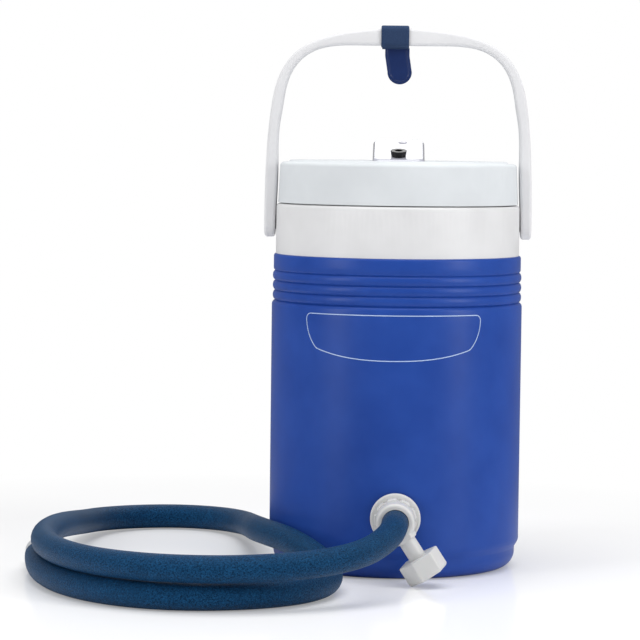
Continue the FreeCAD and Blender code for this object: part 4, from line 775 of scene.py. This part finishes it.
# %% [markdown]
# ## The handle
# The bail is one flat band, 20 millimetres wide, bent over the lid. Its outer and inner edges are two
# smooth lines: nearly upright arms, round shoulders, a gently bowed top and a flat underside. Each line
# passes through a few points given as shares of the half span and of the rise, for the right half, and is
# mirrored. The band's middle and its thickness come from pairs of points on the two lines, its long edges
# are rounded, and each foot ends in a half round about its pin.

# %% Handle lines
FOOT_Z = 248.2
GRIP_TOP = 406.8
GRIP_UNDER = 393.9
OUTER_SPAN = 101.2
INNER_SPAN = 93.0
OUTER_SHARES = [(1, 0), (0.993, 0.3266), (0.9585, 0.6103), (0.9081, 0.7554), (0.7806, 0.8815),
                (0.5929, 0.9483), (0.2964, 0.9874), (0, 1)]
INNER_SHARES = [(1, 0), (0.983, 0.3555), (0.972, 0.591), (0.9495, 0.678), (0.92, 0.786),
                (0.828, 0.906), (0.6989, 0.9684), (0.5376, 0.9952), (0.3011, 1), (0, 1)]
LINE_STEPS = 24


def spline_through(knots):
    """Cubic spline through points, upright at both ends: a dense list of points (x, z)."""
    lengths = [math.dist(a, b) for a, b in zip(knots, knots[1:])]
    count = len(knots)
    slopes = []
    for axis, end_slopes in ((0, (0.0, 0.0)), (1, (1.0, -1.0))):
        # Thomas sweep over the tangent equations of a clamped cubic spline
        upper, right = [0.0], [end_slopes[0]]
        for i in range(1, count - 1):
            before, after = lengths[i - 1], lengths[i]
            pull = 3 * (after / before * (knots[i][axis] - knots[i - 1][axis])
                        + before / after * (knots[i + 1][axis] - knots[i][axis]))
            pivot = 2 * (before + after) - after * upper[-1]
            right.append((pull - after * right[-1]) / pivot)
            upper.append(before / pivot)
        found = [end_slopes[1]]
        for i in range(count - 2, -1, -1):
            found.append(right[i] - upper[i] * found[-1])
        slopes.append(found[::-1])
    dense = []
    for i, run in enumerate(lengths):
        for k in range(LINE_STEPS):
            t = k / LINE_STEPS
            start, leave = 2 * t ** 3 - 3 * t ** 2 + 1, t ** 3 - 2 * t ** 2 + t
            end, arrive = 3 * t ** 2 - 2 * t ** 3, t ** 3 - t ** 2
            dense.append(tuple(
                start * knots[i][a] + leave * run * slopes[a][i]
                + end * knots[i + 1][a] + arrive * run * slopes[a][i + 1] for a in (0, 1)))
    dense.append(knots[-1])
    return dense


def handle_line(half_span, top_z, shares):
    """One edge line of the handle, from foot to foot."""
    right = [(half_span * x, FOOT_Z + (top_z - FOOT_Z) * z) for x, z in shares]
    return spline_through(right + [(-x, z) for x, z in reversed(right[:-1])])


def along_line(points):
    """A function from a share of the line's length to the point there."""
    reached = [0.0]
    for a, b in zip(points, points[1:]):
        reached.append(reached[-1] + math.dist(a, b))

    def at(share):
        target = share * reached[-1]
        i = min(max(bisect.bisect_right(reached, target) - 1, 0), len(points) - 2)
        part = (target - reached[i]) / (reached[i + 1] - reached[i])
        return tuple(p + (q - p) * part for p, q in zip(points[i], points[i + 1]))
    return at


outer_at = along_line(handle_line(OUTER_SPAN, GRIP_TOP, OUTER_SHARES))
inner_at = along_line(handle_line(INNER_SPAN, GRIP_UNDER, INNER_SHARES))
print("top of the handle:", [round(v, 2) for v in outer_at(0.5)], [round(v, 2) for v in inner_at(0.5)])

# %% Surface of the handle
HANDLE_HALF_WIDTH = 10.0
HANDLE_EDGE = 2.4
END_SHARE = 0.022
END_ROWS = 0.06


def row_share(v):
    """Rows crowd together in the two rounded feet."""
    near_end = min(v, 1 - v)
    if near_end < END_ROWS:
        share = END_SHARE * (1 - math.cos(math.pi / 2 * near_end / END_ROWS))
    else:
        share = END_SHARE + (0.5 - END_SHARE) * (near_end - END_ROWS) / (0.5 - END_ROWS)
    return share if v < 0.5 else 1 - share


def handle_point(u, v):
    """Middle, normal and half thickness of the handle at a share across and a share along."""
    outer_x, outer_z = outer_at(row_share(v))
    inner_x, inner_z = inner_at(row_share(v))
    outer_place, inner_place = Vector((outer_x, 0.0, outer_z)), Vector((inner_x, 0.0, inner_z))
    middle = (outer_place + inner_place) / 2
    below_pin = max(0.0, FOOT_Z + HANDLE_HALF_WIDTH - middle.z)
    reach = math.sqrt(max(0.0, HANDLE_HALF_WIDTH ** 2 - below_pin ** 2))
    across = -reach * math.cos(math.pi * u)
    distance = HANDLE_HALF_WIDTH - math.hypot(across, below_pin)
    half_depth = (outer_place - inner_place).length / 2
    rounded = half_depth - HANDLE_EDGE + HANDLE_EDGE * edge_share(distance, HANDLE_EDGE)
    return middle + Vector((0.0, across, 0.0)), (outer_place - inner_place).normalized(), rounded


handle_band = band_mesh("handle_band", handle_point, 1.0, handle_polypropylene, rows=300, columns=32)
print("faces before drilling:", len(handle_band.data.polygons))


# %% Drill the feet
PIN_Z = 258.0
EYE_RADIUS = 4.0
RECESS_RADIUS = 6.8
RECESS_START = 99.1
EYE_DEPTH = 0.3
RECESS_DEPTH = 0.03


def drill_tree(name):
    """Geometry Nodes: cut the pins' holes and the heads' recesses out of a band."""
    tree, entry = open_tree(name, {
        "Pin height": "Float", "Eye radius": "Float", "Recess radius": "Float", "Recess start": "Float"})
    sideways = (0.0, math.pi / 2, 0.0)
    eye = add(tree, "GeometryNodeMeshCylinder", {
        "Vertices": 48, "Radius": entry["Eye radius"], "Depth": EYE_DEPTH})
    eye_place = add(tree, "ShaderNodeCombineXYZ", {"Z": entry["Pin height"]})
    cutters = [(eye, eye_place)]
    recess = add(tree, "GeometryNodeMeshCylinder", {
        "Vertices": 64, "Radius": entry["Recess radius"], "Depth": RECESS_DEPTH})
    middle = add(tree, "ShaderNodeMath", {0: entry["Recess start"], 1: RECESS_DEPTH / 2}, operation="ADD")
    for side in (-1.0, 1.0):
        at_side = add(tree, "ShaderNodeMath", {0: middle, 1: side}, operation="MULTIPLY")
        place = add(tree, "ShaderNodeCombineXYZ", {"X": at_side, "Z": entry["Pin height"]})
        cutters.append((recess, place))
    solid = entry["Geometry"]
    for cutter, place in cutters:
        aimed = add(tree, "GeometryNodeTransform", {
            "Geometry": cutter, "Translation": place, "Rotation": sideways})
        solid = add(tree, "GeometryNodeMeshBoolean", {"Mesh 1": solid, "Mesh 2": aimed},
                    operation="DIFFERENCE", solver="EXACT")
    return close_tree(tree, entry, solid)


handle_moulding = grown("handle_moulding", handle_band.data, drill_tree("drill_the_feet"), {
    "Pin height": PIN_Z * MM, "Eye radius": EYE_RADIUS * MM, "Recess radius": RECESS_RADIUS * MM,
    "Recess start": RECESS_START * MM, "Material": handle_polypropylene})
bpy.data.objects.remove(handle_band)
smooth_by_angle(handle_moulding.data, SMOOTH_ANGLE)
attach(handle_moulding, "handle")
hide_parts("carry_handle")
print("handle faces:", len(handle_moulding.data.polygons))

# %% [markdown]
# ## The strap
# A hook-and-loop strap is wound round the grip, and its free end hangs down. The loop is matt brushed
# nylon, and the end of its outer layer makes a small step low on the front. The tail is a glossy moulded
# tab.


# %% Strap materials
WEAVE_MM = 0.37


def strap_fabric():
    """Brushed loop fabric: matt, fuzzy, with a fine cross weave and painted shade where the weave is low."""
    material, tree, shader, place = new_material(
        "brushed_nylon_loop_fabric", Roughness=0.86, IOR=1.45, Sheen_Weight=0.3, Sheen_Roughness=0.5)
    shader.inputs["Sheen Tint"].default_value = linear("#7f9cc4")
    fuzz = add(tree, "ShaderNodeTexNoise", {
        "Vector": place, "Scale": 1.0 / (0.9 * MM), "Detail": 3.0, "Roughness": 0.7})
    ribs = add(tree, "ShaderNodeTexWave", {
        "Vector": place, "Scale": 0.5 / (WEAVE_MM * MM), "Distortion": 1.5, "Detail": 2.0},
        bands_direction="X")
    weave = add(tree, "ShaderNodeMath", {0: fuzz, 1: ribs.outputs["Fac"]},
                operation="MULTIPLY")
    # Painted shade: the colour is darker where the weave's relief is low.
    weave_painted_shade = add(tree, "ShaderNodeMapRange", {"Value": weave, "From Min": 0.1, "From Max": 0.55})
    shade(tree, shader, weave_painted_shade, linear("#172c4e"), linear("#2b4872"), weave, depth_mm=0.25, strength=0.8)
    return material


brushed_loop = strap_fabric()
# Moulded hook tab: dark, smooth and glossy, with a slight ripple from the moulding.
glossy_tab = moulded("moulded_hook_tab", "#14244e", "#1e3264", 0.22, grain_mm=1.2, grain_depth_mm=0.02,
                     Specular_IOR_Level=0.25)
print("strap materials ready")

# %% Wind the loop round the grip
LOOP_X = -3.7
LOOP_WIDTH = 21.0
LOOP_THICKNESS = 1.6
LOOP_GAP = 0.3
LOOP_CORNER = 3.4
LAYER_EDGE = 394.4
LAYER_STEP = 0.7
STRAP_EDGE = 0.8


def loop_outline(v):
    """Point and outward normal on the rounded rectangle round the grip, v from 0 to 1."""
    half_y = HANDLE_HALF_WIDTH + LOOP_GAP + LOOP_THICKNESS / 2
    half_z = (GRIP_TOP - GRIP_UNDER) / 2 + LOOP_GAP + LOOP_THICKNESS / 2
    middle_z = (GRIP_TOP + GRIP_UNDER) / 2
    straight_y, straight_z = half_y - LOOP_CORNER, half_z - LOOP_CORNER
    quarter = math.pi / 2 * LOOP_CORNER
    runs = [2 * straight_y, quarter, 2 * straight_z, quarter] * 2
    corners = [(straight_y, straight_z), (straight_y, -straight_z), (-straight_y, -straight_z),
               (-straight_y, straight_z)]
    along = v * sum(runs)
    for k, run in enumerate(runs):
        if along <= run or k == len(runs) - 1:
            break
        along -= run
    side, in_corner = divmod(k, 2)
    heading = math.pi / 2 - side * math.pi / 2
    if in_corner:
        angle = heading - along / LOOP_CORNER
        centre = corners[side]
        normal = (math.cos(angle), math.sin(angle))
        return (centre[0] + LOOP_CORNER * normal[0], middle_z + centre[1] + LOOP_CORNER * normal[1]), normal
    start = corners[side - 1]
    normal = (math.cos(heading), math.sin(heading))
    step = (normal[1], -normal[0])
    return (start[0] + LOOP_CORNER * normal[0] + step[0] * along,
            middle_z + start[1] + LOOP_CORNER * normal[1] + step[1] * along), normal


def loop_point(u, v):
    """Middle, normal and thickness share of the loop, with the step where its outer layer ends."""
    (y, z), (ny, nz) = loop_outline(v)
    across = (u - 0.5) * LOOP_WIDTH
    distance = LOOP_WIDTH / 2 - abs(across)
    normal = Vector((0.0, ny, nz))
    middle = Vector((LOOP_X + across, y, z))
    if ny < -0.1 and z < LAYER_EDGE:
        middle -= normal * LAYER_STEP / 2
        return middle, normal, edge_share(distance, STRAP_EDGE) * (1 - LAYER_STEP / LOOP_THICKNESS)
    return middle, normal, edge_share(distance, STRAP_EDGE)


strap_winding = band_mesh("strap_winding", loop_point, LOOP_THICKNESS / 2, brushed_loop,
                          rows=180, columns=24, cyclic=True)
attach(strap_winding, "handle")
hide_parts("strap_loop")
print("loop faces:", len(strap_winding.data.polygons))

# %% [markdown]
# Under the loop lies a short second fold of the fabric. From inside it hangs the free end, a moulded tab
# with straight sides, a half-round tip and a raised line along its border.

# %% Fold and tail
FOLD_X = -3.3
FOLD_WIDTH = 20.4
FOLD_TOP = 393.0
FOLD_LOW = 391.0
FOLD_EDGE = 1.3
FOLD_FULLNESS = 1.9
TAIL_X = -2.0
TAIL_WIDTH = 18.5
TAIL_LEAN = 1.9
TAIL_ROOT = 391.8
TAIL_BEND = 386.2
TAIL_END = 364.6
BORDER_INSET = 2.1
BORDER_WIDTH = 0.9
BORDER_RISE = 0.55
TAB_FULLNESS = 0.66


def fold_point(u, v):
    """Pillow of fabric: thickest in the middle, rounded all round."""
    across = (u - 0.5) * FOLD_WIDTH
    z = FOLD_LOW + (FOLD_TOP - FOLD_LOW) * v
    distance = min(FOLD_WIDTH / 2 - abs(across), z - FOLD_LOW)
    fullness = edge_share(distance, FOLD_EDGE) * FOLD_FULLNESS
    return Vector((FOLD_X + across, 0.0, z)), Vector((0.0, -1.0, 0.0)), fullness


def tail_point(u, v):
    """Straight leaning sides down to a half-round tip, a raised border line, rounded edges."""
    half_width = TAIL_WIDTH / 2
    tip_z = TAIL_END + half_width
    z = TAIL_ROOT + (TAIL_END - TAIL_ROOT) * (1 - (1 - v) ** 1.6)
    lean = TAIL_LEAN * min(max((TAIL_BEND - z) / (TAIL_BEND - tip_z), 0.0), 1.0)
    drop = max(0.0, tip_z - z)
    reach = math.sqrt(max(0.0, half_width ** 2 - drop ** 2))
    across = (2 * u - 1) * reach
    distance = half_width - (math.hypot(across, drop) if drop > 0 else abs(across))
    border = math.exp(-((distance - BORDER_INSET) / BORDER_WIDTH * 2.0) ** 2)
    return (Vector((TAIL_X + lean + across, 0.0, z)), Vector((0.0, -1.0, 0.0)),
            edge_share(distance, STRAP_EDGE) * (TAB_FULLNESS + BORDER_RISE * border))


strap_fold = band_mesh("strap_fold", fold_point, LOOP_THICKNESS / 2, brushed_loop, rows=12, columns=32)
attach(strap_fold, "handle")
strap_tab = band_mesh("strap_tab", tail_point, LOOP_THICKNESS / 2, glossy_tab, rows=72, columns=48)
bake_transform(strap_tab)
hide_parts("strap_tail")
print("tail faces:", len(strap_tab.data.polygons))

# %% [markdown]
# ## What is inside
# The pieces under the lid and in the jug's wall keep their CAD meshes and get the finish of the real ones:
# silicone seals, polyurethane foam, turned and plated steel, a green circuit board, acetal and nylon pump
# parts.


# %% More finishes
def rubber(name, dark, light, roughness=0.55):
    """Moulded silicone or rubber: matt, faint dust, slightly uneven."""
    return moulded(name, dark, light, roughness, grain_mm=0.5, grain_depth_mm=0.02, drift_mm=12.0)


def expanded_foam(name, dark, light, cell_mm):
    """Rigid foam: pale, matt, with small closed cells."""
    material, tree, shader, place = new_material(name, Roughness=0.9, IOR=1.4)
    cells = add(tree, "ShaderNodeTexVoronoi", {"Vector": place, "Scale": 1.0 / (cell_mm * MM)})
    edge = add(tree, "ShaderNodeMapRange", {"Value": cells.outputs["Distance"], "From Max": 0.7})
    shade(tree, shader, edge, linear(light), linear(dark), edge, depth_mm=0.3, strength=0.6)
    return material


def metal(name, dark, light, roughness, streak_mm):
    """Bare or plated metal with fine turning or drawing marks along one axis."""
    material, tree, shader, place = new_material(name, Metallic=1.0)
    stretch = add(tree, "ShaderNodeMapping", {"Vector": place, "Scale": (1.0, 0.08, 1.0)})
    marks = add(tree, "ShaderNodeTexNoise", {
        "Vector": stretch, "Scale": 1.0 / (streak_mm * MM), "Detail": 3.0, "Roughness": 0.65})
    shade(tree, shader, marks, linear(dark), linear(light))
    gloss = add(tree, "ShaderNodeMapRange", {
        "Value": marks, "From Min": 0.3, "From Max": 0.7,
        "To Min": roughness - 0.05, "To Max": roughness + 0.08})
    tree.links.new(gloss.outputs["Result"], shader.inputs["Roughness"])
    return material


def circuit_laminate():
    """Glass-epoxy board under green solder mask, with faint copper tracks."""
    material, tree, shader, place = new_material("solder_masked_fibreglass", Roughness=0.35, IOR=1.55)
    tracks = add(tree, "ShaderNodeTexBrick", {
        "Vector": place, "Scale": 1.0 / (9.0 * MM), "Mortar Size": 0.07, "Mortar Smooth": 0.1,
        "Color1": linear("#17603a"), "Color2": linear("#1b6b41"), "Mortar": linear("#2c8a58")})
    tree.links.new(tracks.outputs["Color"], shader.inputs["Base Color"])
    bump = add(tree, "ShaderNodeBump", {"Height": tracks.outputs["Fac"], "Distance": 0.05 * MM})
    tree.links.new(bump.outputs["Normal"], shader.inputs["Normal"])
    return material


# Silicone and nitrile: matt and slightly uneven. The button's sleeve and the air tube are pale, the lid's
# gasket is grey, and the other seals and the diaphragm are nearly black.
silicone = rubber("moulded_translucent_silicone", "#d9dadb", "#e6e6e7", 0.45)
black_rubber = rubber("moulded_black_nitrile", "#151515", "#212121", 0.6)
grey_rubber = rubber("moulded_grey_silicone", "#8f9296", "#a2a5a9", 0.55)
# Poured foam: straw yellow, dull, with cells that show close to.
wall_foam = expanded_foam("poured_polyurethane_foam", "#d9c894", "#ecdfb4", 1.4)
# Plated and drawn steel are cool grey with fine marks; the contact's bronze is warm.
plated_steel = metal("zinc_plated_steel", "#9fa2a6", "#c9ccd0", 0.3, 0.6)
drawn_steel = metal("drawn_steel_can", "#8f9297", "#b7babf", 0.34, 1.4)
spring_bronze = metal("phosphor_bronze_contact", "#a9814a", "#cda66a", 0.3, 0.5)
laminate = circuit_laminate()
# The pump's nylon is nearly black, its acetal ivory and waxy; the coupling is grey with a blue thumb piece.
pump_nylon = moulded("moulded_black_nylon", "#1b1c1f", "#26282b", 0.42)
pump_acetal = moulded("moulded_ivory_acetal", "#d8d5c8", "#e3e0d4", 0.36)
coupling_grey = moulded("moulded_coupling_grey", "#b9bcc0", "#c7cacd", 0.34)
coupling_blue = moulded("moulded_latch_blue", "#274a86", "#305698", 0.34)
print("materials:", len(bpy.data.materials))

# %% Finish the inner pieces
FINISH = [
    (black_rubber, "outlet_gasket", "inner_washer", "tee_o_ring", "cap_seal", "coupling_rings",
     "pump_diaphragm"),
    (grey_rubber, "lid_gasket"),
    (silicone, "air_tube"),
    (wall_foam, "wall_insulation", "lid_insulation"),
    (liner_polypropylene, "fill_plug", "lid_inner_cover", "strainer"),
    (fitting_nylon, "locknut", "air_fitting"),
    (laminate, "circuit_board"),
    (spring_bronze, "switch_contact"),
    (plated_steel, "board_screws", "housing_screws", "bracket_screws", "jack_nut", "motor_shaft",
     "pump_bracket"),
    (drawn_steel, "pump_motor"),
    (pump_acetal, "eccentric"),
    (pump_nylon, "pump_frame", "pump_head"),
]
for material, *nodes in FINISH:
    for node in nodes:
        mesh = frame["nodes"][node].data
        mesh.materials.clear()
        mesh.materials.append(material)
coupling_body = soften("hose_coupling", "hose_coupling_body", "jug", coupling_grey, 0.3)
coupling_thumb = soften("coupling_latch", "coupling_thumb_latch", "latch", coupling_blue, 0.25)
print("finished nodes:", sum(len(row) - 1 for row in FINISH))

# %% [markdown]
# The silicone sleeve under the button is a merged copy of its CAD solid with a mesh of its own, and the
# middle of its foot is found from its box.

# %% Button sleeve
sleeve_low, sleeve_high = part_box("button_dome")
sleeve = soften("button_dome", "button_sleeve", "lid", silicone, 0.0)
sleeve_foot = (sleeve_low + sleeve_high) / 2
sleeve_foot.z = sleeve_low.z
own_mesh(sleeve)
print("sleeve height:", round((sleeve_high.z - sleeve_low.z) / MM, 2), "mm")
